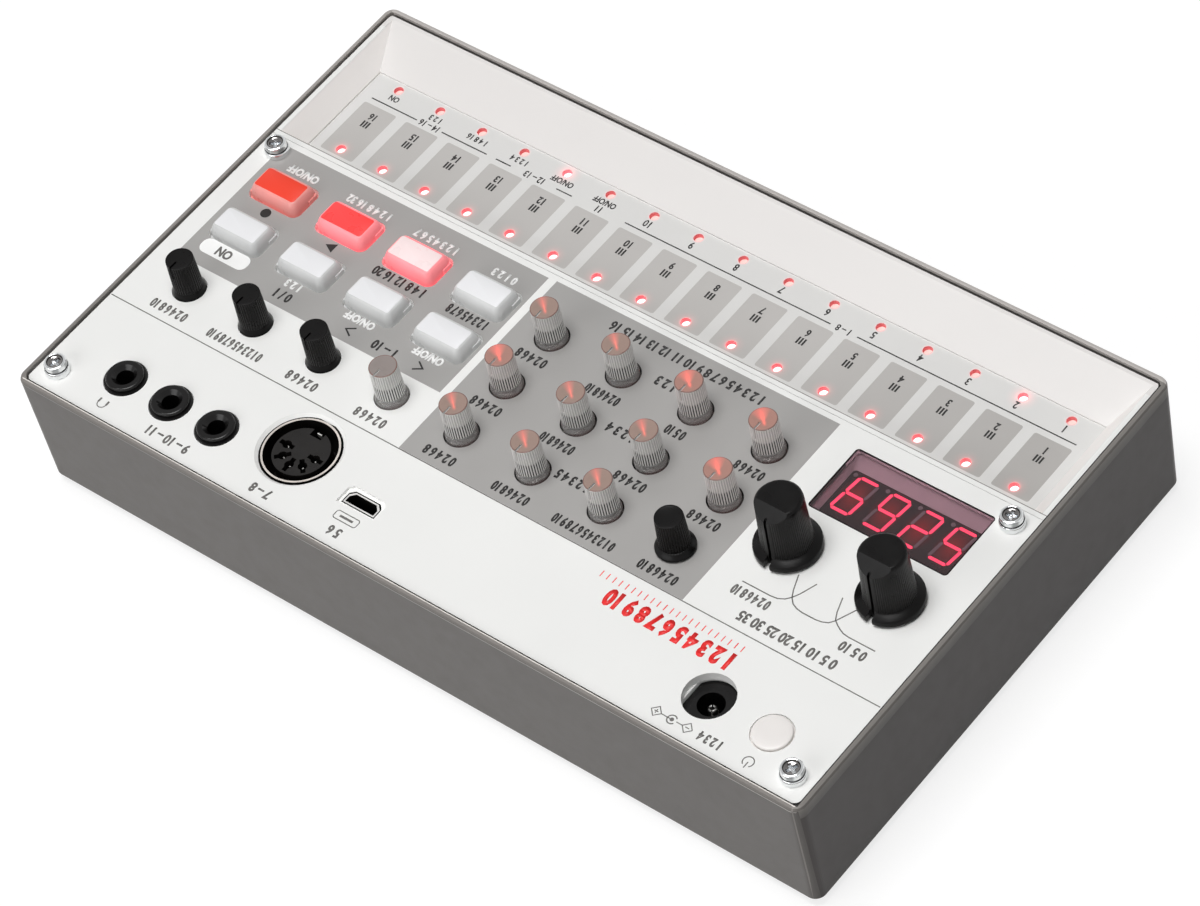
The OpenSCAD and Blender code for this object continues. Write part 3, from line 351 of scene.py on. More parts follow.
def chrome_material():
    """Bright chrome with painted reflections: dark bands round the side of a screw's head, painted shade in
    its waist, a darker dish round its recess with a dark ring at the dish's edge, and a painted highlight
    on the floor of the recess.
    """
    shader = Shader("chrome", rgb(232, 234, 235))
    shader.surface(0.1, 0.4 * MM, 0.002 * MM, Metallic=1.0)
    z, far = shader.z, shader.reach(shader.x, shader.y)
    # Painted reflections and shade on the screw's head.
    reflection_bands = abs((shader.turn() * 2.5).sine()).ramp(0.55, 0.9, 0.0, 0.7)
    shader.cover(reflection_bands * z.between(1.6 * MM, 2.72 * MM), rgb(110, 113, 115))
    shader.cover(z.between(1.36 * MM, 1.64 * MM), rgb(60, 60, 62))
    dish = (far < DISH_R * MM) * z.between(0.9 * MM, (HEAD_H - 0.06) * MM)
    shader.cover(dish, rgb(138, 136, 135))
    shader.cover(dish * (far > (DISH_R - 0.22) * MM), rgb(54, 52, 51))
    shader.cover(dish * (z < (HEAD_H - 0.66) * MM), rgb(236, 238, 240))
    shader.paint(0.03, 1 * MM)


KEY_GREY = rgb(192, 189, 186)
KEY_SHADE = rgb(176, 173, 170)
FOIL_GREY = rgb(222, 221, 219)
KEY_W = 8.55 * MM
KEY_Y = (-37.4 * MM, -23.1 * MM)
KEY_R = 0.5 * MM
HOLE_R = 1.0 * MM
LAMPLIT_WALL_RED = rgb(212, 80, 90)
LAMPLIT_WALL_PINK = rgb(205, 118, 122)
GLOW_RED = rgb(255, 82, 90)
BRIGHT_PARTS = (1, 11)


def key_x(number):
    return (number - (KEY_COUNT - 1) / 2) * KEY_PITCH


def foil_material():
    """Touch foil: a row of printed keys with painted shade towards their left end, the walls of the lamp
    holes painted red and pink as if lit by the lamps, and a painted red glow round each lamp.
    """
    shader = Shader("key_foil", FOIL_GREY)
    shader.surface(0.38, 0.4 * MM, 0.002 * MM)
    x, y, middle = shader.x, shader.y, sum(KEY_Y) / 2
    dx = ((x / KEY_PITCH + KEY_COUNT).fraction() - 0.5) * KEY_PITCH
    corner_x = abs(dx) - (KEY_W / 2 - KEY_R)
    corner_y = abs(y - middle) - ((KEY_Y[1] - KEY_Y[0]) / 2 - KEY_R)
    outside = shader.reach(corner_x | 0.0, corner_y | 0.0)
    # Painted shade: keys a little darker towards the left end.
    key_grey_shaded = shader.mix(x.ramp(-90 * MM, -25 * MM, 0.0, 1.0), KEY_SHADE, KEY_GREY)
    shader.cover(outside < KEY_R, key_grey_shaded)
    step_far, part_far = [shader.reach(dx, y - light_y) for light_y in (STEP_LIGHT_Y, PART_LIGHT_Y)]
    # Walls of the lamp holes painted red and pink as if lit by the lamps below.
    walls = step_far.least(part_far) < HOLE_R * 1.03
    shader.cover(walls, shader.mix(y < middle, LAMPLIT_WALL_RED, LAMPLIT_WALL_PINK))
    shader.paint(0.012, 20 * MM)
    # Painted red glow round the lamps.
    glow = step_far.halo(HOLE_R, 1.6 * MM, 0.35, 2.0) + step_far.halo(0.0, 3.4 * MM, 0.45, 2.5)
    glow += part_far.halo(HOLE_R, 1.45 * MM, 0.16, 1.5)
    glow += part_far.halo(0.0, 1.9 * MM, 0.12, 1.5)
    for number in BRIGHT_PARTS:
        glow += shader.reach(x - key_x(number), y - PART_LIGHT_Y).halo(0.0, 4.2 * MM, 0.8, 3.0)
    shader.glow(GLOW_RED, glow)


WINDOW_FLANGE = 1.3 * MM
WINDOW_SHADE_BAND = 0.32 * MM
WINDOW_TINT = (0.62, 0.47, 0.51, 1.0)
PLASTIC_IOR = 1.49


def window_material():
    """Tinted window, with a band of painted shade along its edge for the shadow of the gap round it. It lets
    the lamps through, so that what it covers stays lit.
    """
    shader = Shader("window_tint", WINDOW_TINT)
    lo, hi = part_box("display_window")
    outside = [
        abs(at - (low + high) / 2) > (high - low) / 2 - WINDOW_FLANGE - WINDOW_SHADE_BAND
        for at, low, high in ((shader.x, lo.x, hi.x), (shader.y, lo.y, hi.y))
    ]
    # Painted shade in a band along the window's edge, for the shadow of the gap round it.
    edge = (outside[0] | outside[1]) * (shader.z > hi.z - 0.5 * MM)
    shader.cover(edge, rgb(26, 18, 20))
    shader.paint(0.02, 4 * MM)
    shader.rough(0.02, 0.01)
    shader.set(Transmission_Weight=1.0 - edge, Specular_IOR_Level=0.12, IOR=PLASTIC_IOR)
    through = shader.add("ShaderNodeBsdfTransparent")
    through.inputs["Color"].default_value = [math.sqrt(share) for share in WINDOW_TINT[:3]] + [1.0]
    shadow = shader.add("ShaderNodeLightPath").outputs["Is Shadow Ray"]
    mixed = shader.feed(shader.add("ShaderNodeMixShader"), shadow, shader.out.outputs[0], through.outputs[0])
    shader.put(shader.tree.nodes["Material Output"].inputs["Surface"], mixed)


COLLAR_R, COLLAR_TOP = 3.3, 1.3
BODY_R, TOP_R, TOP_Z = 3.0, 2.82, 8.9
HOLLOW_Z = 5.2
KNOB_RIBS = 36
KNOB_FLAT = 2.6 * MM
FOOT_Z = 1.35 * MM
SIDE_GLOW = 0.15
STREAK_WAY = (-0.766, 0.643)
STREAK_START = -2.6 * MM


def clear_knob_material(name, side_colour, top_colour, strength, spread=1.7):
    """Clear ribbed knob: milky in its solid upper part with a faint painted glow, painted shade as dark lines
    between the ribs where it is hollow and as a band round its foot, glassy at its collar, painted shade on
    the rounded edge of its top, and a painted red glow in a streak across its top, aimed toward the camera,
    for the lamp below that shines up."""
    shader = Shader(name, side_colour)
    x, y, z = shader.x, shader.y, shader.z
    far = shader.reach(x, y)
    outer = far > KNOB_FLAT
    on_top = z > (TOP_Z - 0.12) * MM
    collar = z < FOOT_Z
    valley = abs((shader.turn() * (KNOB_RIBS / 2)).sine()).ramp(0.5, 0.76, 1.0, 0.0)
    hollow = z.ramp((HOLLOW_Z - 0.6) * MM, (HOLLOW_Z + 0.1) * MM, 0.96, 0.28, True)
    # Painted shade: dark lines between the ribs where the knob is hollow, and a dark band round its foot.
    lines = valley * hollow * z.between(1.75 * MM, (TOP_Z - 0.4) * MM)
    lines = lines | z.between(FOOT_Z, 1.8 * MM) * 0.6
    shader.cover(lines, rgb(24, 23, 22))
    rings = (far / (0.035 * MM)).sine().ramp(-1.0, 1.0, 0.0, 0.09)
    ringed = shader.mix(rings, top_colour, rgb(90, 66, 60))
    # Painted shade on the rounded edge of the top.
    shader.cover(on_top, shader.mix(outer, ringed, rgb(140, 110, 102)))
    shader.paint(0.04, 2 * MM)
    spots = shader.noise(2 * MM, 4.0).ramp(0.3, 0.7, 0.1, 0.18)
    shader.set(Roughness=spots + collar * 0.1, Transmission_Weight=collar * 0.66 + 0.12, IOR=PLASTIC_IOR)
    # Painted light: a faint glow on the milky sides, and on lit knobs a red streak across the top.
    milky = 1.0 - (lines | on_top | collar)
    level, tint = milky * outer * SIDE_GLOW, side_colour
    if strength:
        along_x, along_y = STREAK_WAY
        ahead = x * along_x + y * along_y
        aside = abs(x * along_y - y * along_x)
        width = ahead.ramp(STREAK_START, 0.4 * MM, spread * MM, 0.55 * MM)
        near = 1.0 - aside / width | 0.0
        ends = ahead.ramp(STREAK_START, -0.3 * MM, 0.45, 1.0) * ahead.ramp(0.8 * MM, 2.0 * MM, 1.0, 0.0, True)
        level += near ** 1.5 * ends * on_top * strength
        tint = shader.mix(on_top, side_colour, rgb(255, 70, 62))
    shader.glow(tint, level)


def core_material():
    """Dark stem and hollow inside a clear knob, with a faint painted red glow, strongest low down, for the
    lamp below.
    """
    shader = Shader("knob_core", rgb(52, 46, 45))
    shader.surface(0.4)
    shader.paint()
    # Painted red glow, strongest low down.
    shader.glow(rgb(255, 60, 50), shader.z.ramp(-4.0 * MM, 0.5 * MM, 0.12, 0.0))


DIGIT_PITCH = 7.5 * MM
DIGIT_COUNT = 4


def digit_x(number):
    return (number - (DIGIT_COUNT - 1) / 2) * DIGIT_PITCH


def display_material():
    """Dark display body, with a painted red glow on its face around its digits."""
    shader = Shader("display_body", rgb(34, 20, 22))
    shader.surface(0.5, Specular_IOR_Level=0.1)
    shader.paint(0.05)
    middle = centre("display_module")
    glow = 0.0
    for number in range(DIGIT_COUNT):
        dx = shader.x - (middle.x + digit_x(number))
        glow += shader.reach(dx * 1.6, shader.y - middle.y).halo(1.0 * MM, 5.6 * MM, 0.23, 1.2)
    shader.glow(rgb(255, 40, 44), glow)


def lit_plastic(name, colour, glow_colour, strength, roughness=0.3):
    """Translucent moulded plastic with a painted glow, brighter in the middle than at its ends, and painted
    shade towards its foot.
    """
    shader = Shader(name, colour)
    shader.surface(roughness)
    # Painted shade: a little darker towards the foot.
    low = shader.z.ramp(0.0, 1.7 * MM, 1.0, 0.0, True)
    shader.cover(low, [share * 0.93 for share in colour[:3]] + [1.0])
    shader.paint(0.02, 3 * MM)
    # Painted light: the glow, brighter in the middle.
    shader.glow(glow_colour, abs(shader.x).ramp(0.0, 6.5 * MM, 1.0, 0.55, True) * strength)


def rim_metal(name, depth, bright):
    """Tinned shell of a socket: bright metal on its rim, down to a depth below the panel, and painted shade
    deeper inside.
    """
    # The dark base colour is painted shade inside the shell; the rim above the depth is bright metal.
    shader = Shader(name, rgb(52, 50, 48))
    shader.surface(0.3, 0.3 * MM, 0.002 * MM, Metallic=0.8)
    shader.cover(shader.z > PANEL - depth, bright)
    shader.paint(0.04, 3 * MM)


def lamp_material(name, colour, strength):
    """Lens of a small lamp."""
    shader = Shader(name, colour)
    shader.surface(0.2)
    shader.paint(0.02)
    shader.glow(colour, strength)


case_material()
panel_material()
frame_material()
foil_material()
display_material()
window_material()
chrome_material()
core_material()
clear_knob_material("clear_lit", rgb(218, 216, 214), rgb(170, 145, 134), 0.7)
clear_knob_material("clear_bright", rgb(220, 214, 212), rgb(186, 140, 128), 0.95, 2.8)
clear_knob_material("clear_unlit", rgb(220, 219, 217), rgb(156, 146, 142), 0.0)
rim_metal("shell_metal", 0.66 * MM, rgb(244, 242, 240))
rim_metal("shield_metal", 0.46 * MM, rgb(236, 228, 220))
finish("tab_metal", rgb(236, 234, 230), 0.25, 0.2 * MM, 0.002 * MM, Metallic=0.7)
finish("steel", rgb(176, 175, 172), 0.32, 0.2 * MM, 0.003 * MM, 0.05, Metallic=1.0)
finish("board_green", rgb(28, 88, 58), 0.35, 0.6 * MM, 0.004 * MM, 0.12)
finish("component_black", rgb(38, 38, 40), 0.45)
finish("wire_grey", rgb(150, 148, 142), 0.5)
finish("cell_sleeve", rgb(70, 74, 84), 0.3)
finish("rubber", rgb(42, 42, 43), 0.8, 0.5 * MM, 0.02 * MM)
finish("shroud_white", rgb(160, 158, 160), 0.6, 1.2 * MM, 0.01 * MM)
finish("socket_black", rgb(15, 14, 14), 0.22, 0.5 * MM, 0.01 * MM, 0.1, Specular_IOR_Level=0.3)
finish("din_black", rgb(27, 25, 24), 0.3, 0.7 * MM, 0.02 * MM, 0.2, Specular_IOR_Level=0.3)
finish("knob_black", rgb(14, 13, 13), 0.3, 0.18 * MM, 0.006 * MM, 0.08, Specular_IOR_Level=0.15)
finish("segment_dark", rgb(104, 98, 102), 0.4)
finish("print_black", rgb(22, 20, 19), 0.4)
finish("print_dark", rgb(28, 26, 25), 0.4)
finish("print_grey", rgb(104, 102, 99), 0.4)
finish("print_white", rgb(250, 250, 249), 0.4)
finish("print_red", rgb(240, 42, 42), 0.4)
finish("paint_white", rgb(240, 240, 242), 0.35, mottle=0.01)
finish("paint_red", rgb(246, 66, 42), 0.35, mottle=0.01)
finish("power_white", rgb(238, 234, 231), 0.35, mottle=0.01)
# Button paints and plastics, all with a painted glow. The warm cap and the pink body are lamplit copies of
# the white cap and body. The lit red cap glows too, and the plain white body glows with no lamp under it. The
# record button's rose body is tinted by the painted reflection of its red cap.
lit_plastic("paint_lit_warm", rgb(246, 226, 226), rgb(255, 225, 225), 0.12)
lit_plastic("paint_lit_red", rgb(245, 66, 66), rgb(255, 60, 60), 0.3)
lit_plastic("button_body", rgb(202, 203, 203), WHITE, 0.13)
lit_plastic("button_lit_pink", rgb(250, 156, 160), rgb(255, 96, 110), 0.56)
lit_plastic("button_rose", rgb(228, 156, 150), rgb(255, 110, 105), 0.2)
lamp_material("lamp_hot", rgb(255, 236, 236), 1.1)
lamp_material("lamp_pink", rgb(255, 214, 222), 1.3)
lamp_material("lamp_dim", rgb(246, 214, 208), 0.25)
lamp_material("segment_lit", rgb(255, 70, 104), 1.5)


# ---- Meshes ----

WELD = 0.0005 * MM


def new_mesh(name, verts, faces):
    mesh = bpy.data.meshes.new(name)
    mesh.from_pydata([tuple(v) for v in verts], [], faces)
    work = bmesh.new()
    work.from_mesh(mesh)
    bmesh.ops.remove_doubles(work, verts=work.verts, dist=WELD)
    bmesh.ops.recalc_face_normals(work, faces=work.faces)
    work.to_mesh(mesh)
    work.free()
    return mesh


def soften(mesh, degrees):
    """Smooth shading, with edges sharper than this left crisp."""
    mesh.shade_smooth()
    mesh.set_sharp_from_angle(angle=math.radians(degrees))


def solid(name, shape, degrees=32, tools=()):
    """Finished mesh of a (verts, faces) shape, with the tool meshes cut from it."""
    mesh = new_mesh(name, *shape)
    if tools:
        mesh = carve(mesh, tools)
    soften(mesh, degrees)
    return mesh


def link(name, data):
    obj = bpy.data.objects.new(name, data)
    bpy.context.scene.collection.objects.link(obj)
    return obj


def piece(name, mesh, material, body, place=(0, 0, 0), replaces=(), turn=0.0):
    """Shows a mesh as one named piece of the drum machine."""
    obj = link(name, mesh)
    obj.location = place
    obj.rotation_euler = (0, 0, turn)
    if not mesh.materials:
        mesh.materials.append(MATERIALS[material])
    elif mesh.materials[0] != MATERIALS[material]:
        obj.material_slots[0].link = "OBJECT"
        obj.material_slots[0].material = MATERIALS[material]
    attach(obj, body)
    if replaces:
        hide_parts(*replaces)


def lathe(profile, segments, flutes=0, plain=0.0):
    """Turned solid. Each point of the profile is (radius, height) or (radius, height, flute depth) in
    millimetres. No flutes are cut within the angle plain on each side of +Y."""
    verts, faces, rings = [], [], []
    for radius, height, *depth in profile:
        ring = []
        if radius < 0.001:
            ring = [len(verts)] * segments
            verts.append((0, 0, height * MM))
        else:
            for i in range(segments):
                turn = math.tau * i / segments
                crest = abs(math.sin(flutes * turn / 2))
                if min(turn, math.tau - turn) < plain:
                    crest = 1
                r = (radius - sum(depth) * (1 - crest)) * MM
                ring.append(len(verts))
                verts.append((r * math.sin(turn), r * math.cos(turn), height * MM))
        rings.append(ring)
    for low, high in zip(rings, rings[1:]):
        for i in range(segments):
            j = (i + 1) % segments
            face = list(dict.fromkeys([low[i], low[j], high[j], high[i]]))
            if len(face) > 2:
                faces.append(face)
    return verts, faces


def steps_between(start, end, count):
    return [start + (end - start) * i / count for i in range(count + 1)]


def arc(cx, cz, radius, start, end, steps):
    """Profile points of a rounded edge, from one angle to another in degrees."""
    turns = [math.radians(angle) for angle in steps_between(start, end, steps)]
    return [(cx + radius * math.cos(t), cz + radius * math.sin(t)) for t in turns]


def rounded(w, d, r, steps=6):
    """Outline of a rectangle with round corners, centred."""
    points = []
    for corner, (sx, sy) in enumerate(((1, 1), (-1, 1), (-1, -1), (1, -1))):
        for turn in steps_between(90 * corner, 90 * corner + 90, steps):
            t = math.radians(turn)
            points.append((sx * (w / 2 - r) + r * math.cos(t), sy * (d / 2 - r) + r * math.sin(t)))
    return points


def loft(sections):
    """Solid through flat outlines with as many points each. A section is (outline, height)."""
    verts, faces = [], []
    count = len(sections[0][0])
    for outline, height in sections:
        verts += [(x * MM, y * MM, height * MM) for x, y in outline]
    for level in range(len(sections) - 1):
        base = level * count
        for i in range(count):
            j = (i + 1) % count
            faces.append([base + i, base + j, base + count + j, base + count + i])
    faces.append(list(range(count))[::-1])
    faces.append([len(verts) - count + i for i in range(count)])
    return verts, faces


def joined(shapes):
    """One (verts, faces) shape of several."""
    verts, faces = [], []
    for more, sides in shapes:
        faces += [[len(verts) + corner for corner in side] for side in sides]
        verts += more
    return verts, faces


def carve(mesh, tools):
    """Cuts each tool mesh from a mesh."""
    target = link("carved", mesh)
    helpers = [link("tool", tool) for tool in tools]
    for helper in helpers:
        cut = target.modifiers.new("cut", "BOOLEAN")
        cut.operation = "DIFFERENCE"
        cut.solver = "EXACT"
        cut.object = helper
    bpy.context.view_layer.update()
    graph = bpy.context.evaluated_depsgraph_get()
    result = bpy.data.meshes.new_from_object(target.evaluated_get(graph))
    for obj in [target, *helpers]:
        bpy.data.objects.remove(obj)
    result.name = mesh.name
    return result


def box_tool(lo, hi):
    """Box from corner to corner in millimetres, for carving."""
    outline = [(lo[0], lo[1]), (hi[0], lo[1]), (hi[0], hi[1]), (lo[0], hi[1])]
    return new_mesh("tool", *loft([(outline, lo[2]), (outline, hi[2])]))


# ---- Knobs ----

RIB = 0.16
RIB_STEPS = 6
SHAFT_END = -9.8
NECK = [(2.0, -4.3), (2.6, -4.3), (2.6, -1.0)]
SLIT_HALF = 0.22


def ribbed_knob(name, inside):
    """Small knob with a slit in its top and one down its side, on the stem or round the hollow inside it."""
    collar = [(COLLAR_R, -1.0), (COLLAR_R, 0.1), (3.26, 0.4), (3.14, 0.75), (2.99, 1.05)]
    ribs = [
        (2.9, COLLAR_TOP - 0.05),
        (BODY_R - 0.02, COLLAR_TOP, RIB * 0.8),
        (BODY_R, COLLAR_TOP + 0.15, RIB),
        (BODY_R - 0.06, 4.2, RIB),
        (TOP_R + 0.02, TOP_Z - 0.42, RIB),
        (TOP_R, TOP_Z - 0.3, RIB * 0.6),
    ]
    rim = arc(TOP_R - 0.14, TOP_Z - 0.14, 0.14, 0, 90, 4)
    top = [(TOP_R - 0.32, TOP_Z - 0.02), (TOP_R - 0.7, TOP_Z - 0.05), (0, TOP_Z - 0.06)]
    slits = [
        box_tool((-SLIT_HALF, TOP_R - 1.9, TOP_Z - 0.5), (SLIT_HALF, TOP_R + 1, TOP_Z + 1)),
        box_tool((-SLIT_HALF, TOP_R - 0.42, TOP_Z - 3.2), (SLIT_HALF, TOP_R + 1, TOP_Z + 1)),
    ]
    shape = lathe(inside + collar + ribs + rim + top, KNOB_RIBS * RIB_STEPS, KNOB_RIBS)
    return solid(name, shape, tools=slits)


def core_mesh():
    stem = [(0, SHAFT_END), (1.9, SHAFT_END), (2.0, SHAFT_END + 0.1), (2.0, HOLLOW_Z - 0.3)]
    tip = [(1.8, HOLLOW_Z - 0.1), (0.6, HOLLOW_Z - 0.1), (0, HOLLOW_Z - 0.2)]
    return solid("knob_core", lathe(stem + tip, 48))


def select_knob_mesh():
    stem = [(0, -10.4), (2.0, -10.4), (2.0, -4.3), (3.1, -4.3), (3.1, 0.3)]
    skirt = [(3.85, 0.3), (4.0, 0.42), (4.0, 0.7), (3.9, 0.9), (3.5, 1.25), (3.2, 1.6)]
    ribs = [(3.1, 1.65, RIB * 0.8), (3.1, 1.8, RIB), (2.98, 5.5, RIB), (2.84, 8.7, RIB),
            (2.8, 8.8, RIB * 0.5)]
    rim = arc(2.66, 8.96, 0.14, 0, 90, 4) + [(2.4, 9.06), (2.1, 9.0), (0, 8.98)]
    return solid("select_knob", lathe(stem + skirt + ribs + rim, KNOB_RIBS * RIB_STEPS, KNOB_RIBS))


BIG_RIBS = 72
BIG_TOP = 14.4
BIG_BASE_R, BIG_TOP_R = 5.0, 4.6
BIG_BASE = 2.6
SMOOTH_STRIP = 0.21
SHOULDER = 0.8
FACE_CHORD = 2.1
FACE_SLOPE = math.radians(42)
GROOVE_W = 0.6
GROOVE_DEPTH = 0.75
NOTCH_W = 1.3


def big_radius(z):
    return BIG_BASE_R + (BIG_TOP_R - BIG_BASE_R) * (z - BIG_BASE) / (BIG_TOP - BIG_BASE)


def groove_tool():
    """Bar with a round floor that follows the cone's slope, for carving the pointer groove."""
    sections = []
    half = GROOVE_W / 2
    for z in (-1.0, BIG_TOP + 1):
        middle = big_radius(z) - GROOVE_DEPTH + half
        turns = steps_between(math.pi, math.tau, 10)
        floor = [(half * math.cos(t), middle + half * math.sin(t)) for t in turns]
        sections.append((floor + [(half, 12), (-half, 12)], z))
    return new_mesh("tool", *loft(sections))


def big_knob_mesh():
    """Large knob: skirt, finely ribbed cone, slanted face and a pointer groove between smooth strips."""
    inside = [(0, 9.5), (3.05, 9.5), (3.05, 0.5)]
    skirt = [(6.45, 0.5), (6.6, 0.62), (6.6, 1.6), (6.53, 1.78), (6.35, 1.92), (5.5, 2.35)]
    teeth = [(5.2, BIG_BASE - 0.1), (5.16, BIG_BASE, 0.16), (5.1, BIG_BASE + 0.3, 0.12)]
    cone = [(big_radius(z), z, depth) for z, depth in ((3.2, 0.09), (8.0, 0.07), (12.2, 0.05), (13.2, 0.0))]
    shoulder = arc(big_radius(13.6) - SHOULDER, BIG_TOP - SHOULDER, SHOULDER, 8, 84, 7)
    profile = inside + skirt + teeth + cone + shoulder + [(3.0, BIG_TOP), (0, BIG_TOP - 0.02)]
    face = box_tool((-9, 0, 0), (9, 9, 9))
    tilt = Matrix.Rotation(-FACE_SLOPE, 4, "X")
    face.transform(Matrix.Translation((0, FACE_CHORD * MM, BIG_TOP * MM)) @ tilt)
    notch = box_tool((-NOTCH_W / 2, 5.1, 0), (NOTCH_W / 2, 8, 3.0))
    shape = lathe(profile, BIG_RIBS * 5, BIG_RIBS, SMOOTH_STRIP)
    return solid("big_knob", shape, 28, [face, groove_tool(), notch])


CLEAR_KNOBS = (
    "start_point_knob", "length_knob", "hi_cut_knob", "tempo_knob", "speed_knob", "pitch_depth_knob",
    "pitch_attack_knob", "pitch_decay_knob", "level_knob", "pan_knob", "amp_attack_knob", "amp_decay_knob",
)
UNLIT = ("tempo_knob",)
BRIGHT = ("pitch_decay_knob", "pan_knob", "speed_knob", "level_knob")


def control(node, part, mesh, material):
    """Piece of a knob or button, which stands on the panel in its node's place."""
    middle = centre(node)
    piece(node + part, mesh, material, node, (middle.x, middle.y, PANEL), [node])


def make_knobs():
    core = core_mesh()
    clear = ribbed_knob("clear_knob", [(0, HOLLOW_Z), (2.1, HOLLOW_Z), (2.1, -4.3)] + NECK[1:])
    for node in CLEAR_KNOBS:
        material = "clear_unlit" if node in UNLIT else "clear_bright" if node in BRIGHT else "clear_lit"
        control(node, "_shell", clear, material)
        control(node, "_core", core, "knob_core")
    small = ribbed_knob("black_knob", [(0, SHAFT_END), (2.0, SHAFT_END)] + NECK)
    black = dict.fromkeys(("swing_knob", "reverb_mix_knob", "volume_knob"), small)
    black["select_knob"] = select_knob_mesh()
    black["bass_knob"] = black["treble_knob"] = big_knob_mesh()
    for node, mesh in black.items():
        control(node, "_ribbed", mesh, "knob_black")


# ---- Buttons ----

STEM_END = -5.45
LIT_BUTTONS = {
    "step_mode_button": ("button_lit_pink", "paint_lit_warm", "button_lit"),
    "play_button": ("button_lit_pink", "paint_lit_red", "button_lit"),
    "record_button": ("button_rose", "paint_red", "button_red"),
}
PLAIN_BUTTONS = ("reverse_button", "reverb_button", "mute_button", "function_button", "memory_button")


def stacked(levels):
    """Solid through round-cornered rectangles, each (width, depth, corner radius, height)."""
    return loft([(rounded(w, d, r), z) for w, d, r, z in levels])


def button_shapes():
    """Translucent button: flange, foot that fills the hole, soft upright sides and a flat top, with a small
    clear ear at two of its corners."""
    shapes = [stacked([
        (14.3, 9.2, 1.6, -3.5), (14.3, 9.2, 1.6, -2.3), (12.9, 7.8, 1.6, -2.25), (13.0, 7.9, 1.6, -1.2),
        (13.05, 7.95, 1.6, -1.0), (12.42, 7.36, 1.5, -0.9), (12.38, 7.32, 1.5, 0.15), (12.3, 7.24, 1.5, 0.5),
        (12.18, 7.1, 1.5, 0.95), (11.98, 6.88, 1.45, 1.4), (11.66, 6.46, 1.4, 1.85), (11.26, 6.0, 1.3, 2.22),
        (10.9, 5.55, 1.1, 2.45), (10.5, 5.1, 0.9, 2.56),
    ])]
    for side in (-1, 1):
        outline = [(x + side * 6.0, y + side * 1.85) for x, y in rounded(0.75, 2.6, 0.3)]
        shapes.append(loft([(outline, -0.9), (outline, 0.45), ([(x * 0.99, y) for x, y in outline], 0.55)]))
    return shapes


def power_button_mesh():
    stem = [(0, STEM_END), (1.5, STEM_END), (1.5, -3.5), (4.6, -3.5), (4.6, -2.3), (4.12, -2.3)]
    cap = [(4.12, -0.62), (3.88, -0.55), (3.88, -0.12)] + arc(3.55, -0.03, 0.36, 0, 80, 6)
    return solid("power_button", lathe(stem + cap + [(3.0, 0.39), (2.0, 0.43), (0, 0.44)], 72))


def make_buttons():
    body = solid("button_body", joined(button_shapes()), 50)
    paint = stacked([(10.35, 4.85, 0.45, 2.5), (10.35, 4.85, 0.45, 2.6), (10.2, 4.7, 0.4, 2.64)])
    cap = solid("button_cap", paint, 50)
    stem = solid("button_stem", lathe([(0, STEM_END), (1.5, STEM_END), (1.5, -3.45), (0, -3.45)], 32))
    buttons = dict.fromkeys(PLAIN_BUTTONS, ("button_body", "paint_white", "button_white")) | LIT_BUTTONS
    for node, (side, top, slot) in buttons.items():
        control(node, "_body", body, side)
        control(node, "_cap", cap, top)
        control(node, "_stem", stem, side)
    control("power_button", "_round", power_button_mesh(), "power_white")


# ---- Screws, lamps and the display ----


def turned(mesh, turn, axis="Z"):
    mesh.transform(Matrix.Rotation(turn, 4, axis))
    return mesh


def cross_tools():
    """Cross recess that narrows to its floor, as two tapered bars."""
    outline = [(-1.3, -0.4), (1.3, -0.4), (1.3, 0.4), (-1.3, 0.4)]
    floor = [(x * 0.55, y * 0.55) for x, y in outline]
    bar = loft([(floor, HEAD_H - 1.3), (outline, HEAD_H - 0.25)])
    return [turned(new_mesh("tool", *bar), turn) for turn in (0, math.pi / 2)]


def screw_mesh():
    """Plate screw: wide foot, waist, and a rounded head with a dish and a wide cross recess."""
    shank = [(0, -10), (1.2, -10), (1.45, -9.7), (1.45, 0)]
    foot = [(HEAD_R - 0.1, 0), (HEAD_R, 0.1), (HEAD_R, 0.9), (2.48, 1.2), (2.36, 1.38)]
    waist = [(2.16, 1.44), (2.14, 1.56), (2.26, 1.66), (2.28, 2.4)]
    crown = arc(2.28 - 0.42, HEAD_H - 0.44, 0.42, 0, 112, 12)
    dish = [(1.62, HEAD_H - 0.22), (1.3, HEAD_H - 0.4), (0.6, HEAD_H - 0.5), (0, HEAD_H - 0.52)]
    return solid("plate_screw", lathe(shank + foot + waist + crown + dish, 72), 40, cross_tools())


SCREW_TURNS = (18, 64, 35, 80)
BOX_HEAD_R = 2.6 * MM


def make_screws():
    mesh = screw_mesh()
    lo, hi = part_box("plate_screws")
    xs = (lo.x + BOX_HEAD_R, hi.x - BOX_HEAD_R)
    ys = (lo.y + BOX_HEAD_R, hi.y - BOX_HEAD_R)
    places = [(x, y, PANEL) for x in xs for y in ys]
    for number, (place, turn) in enumerate(zip(places, SCREW_TURNS), 1):
        piece(f"plate_screw_{number}", mesh, "chrome", "case", place, ["plate_screws"],
              math.radians(turn))


def jack_pin_mesh(height):
    """Centre pin of the power socket: a split tube with a rounded tip."""
    outside = [(0, 0), (0.95, 0), (0.95, height - 0.35), (0.8, height - 0.1), (0.6, height)]
    bore = [(0.42, height - 0.1), (0.4, height - 1.6), (0, height - 1.6)]
    lo, hi = (-1.5, -0.14, height - 2.4), (1.5, 0.14, height + 1)
    cuts = [turned(box_tool(lo, hi), turn) for turn in (0.5, 2.1)]
    return solid("jack_pin", lathe(outside + bore, 40), 40, cuts)


DIN_FACE = -0.9
DIN_SLOT_R = 3.6
DIN_TURNS = (-90, -45, 0, 45, 90)
BLADE_TWIST = math.radians(35)
QUARTER_TURN = math.radians(90)


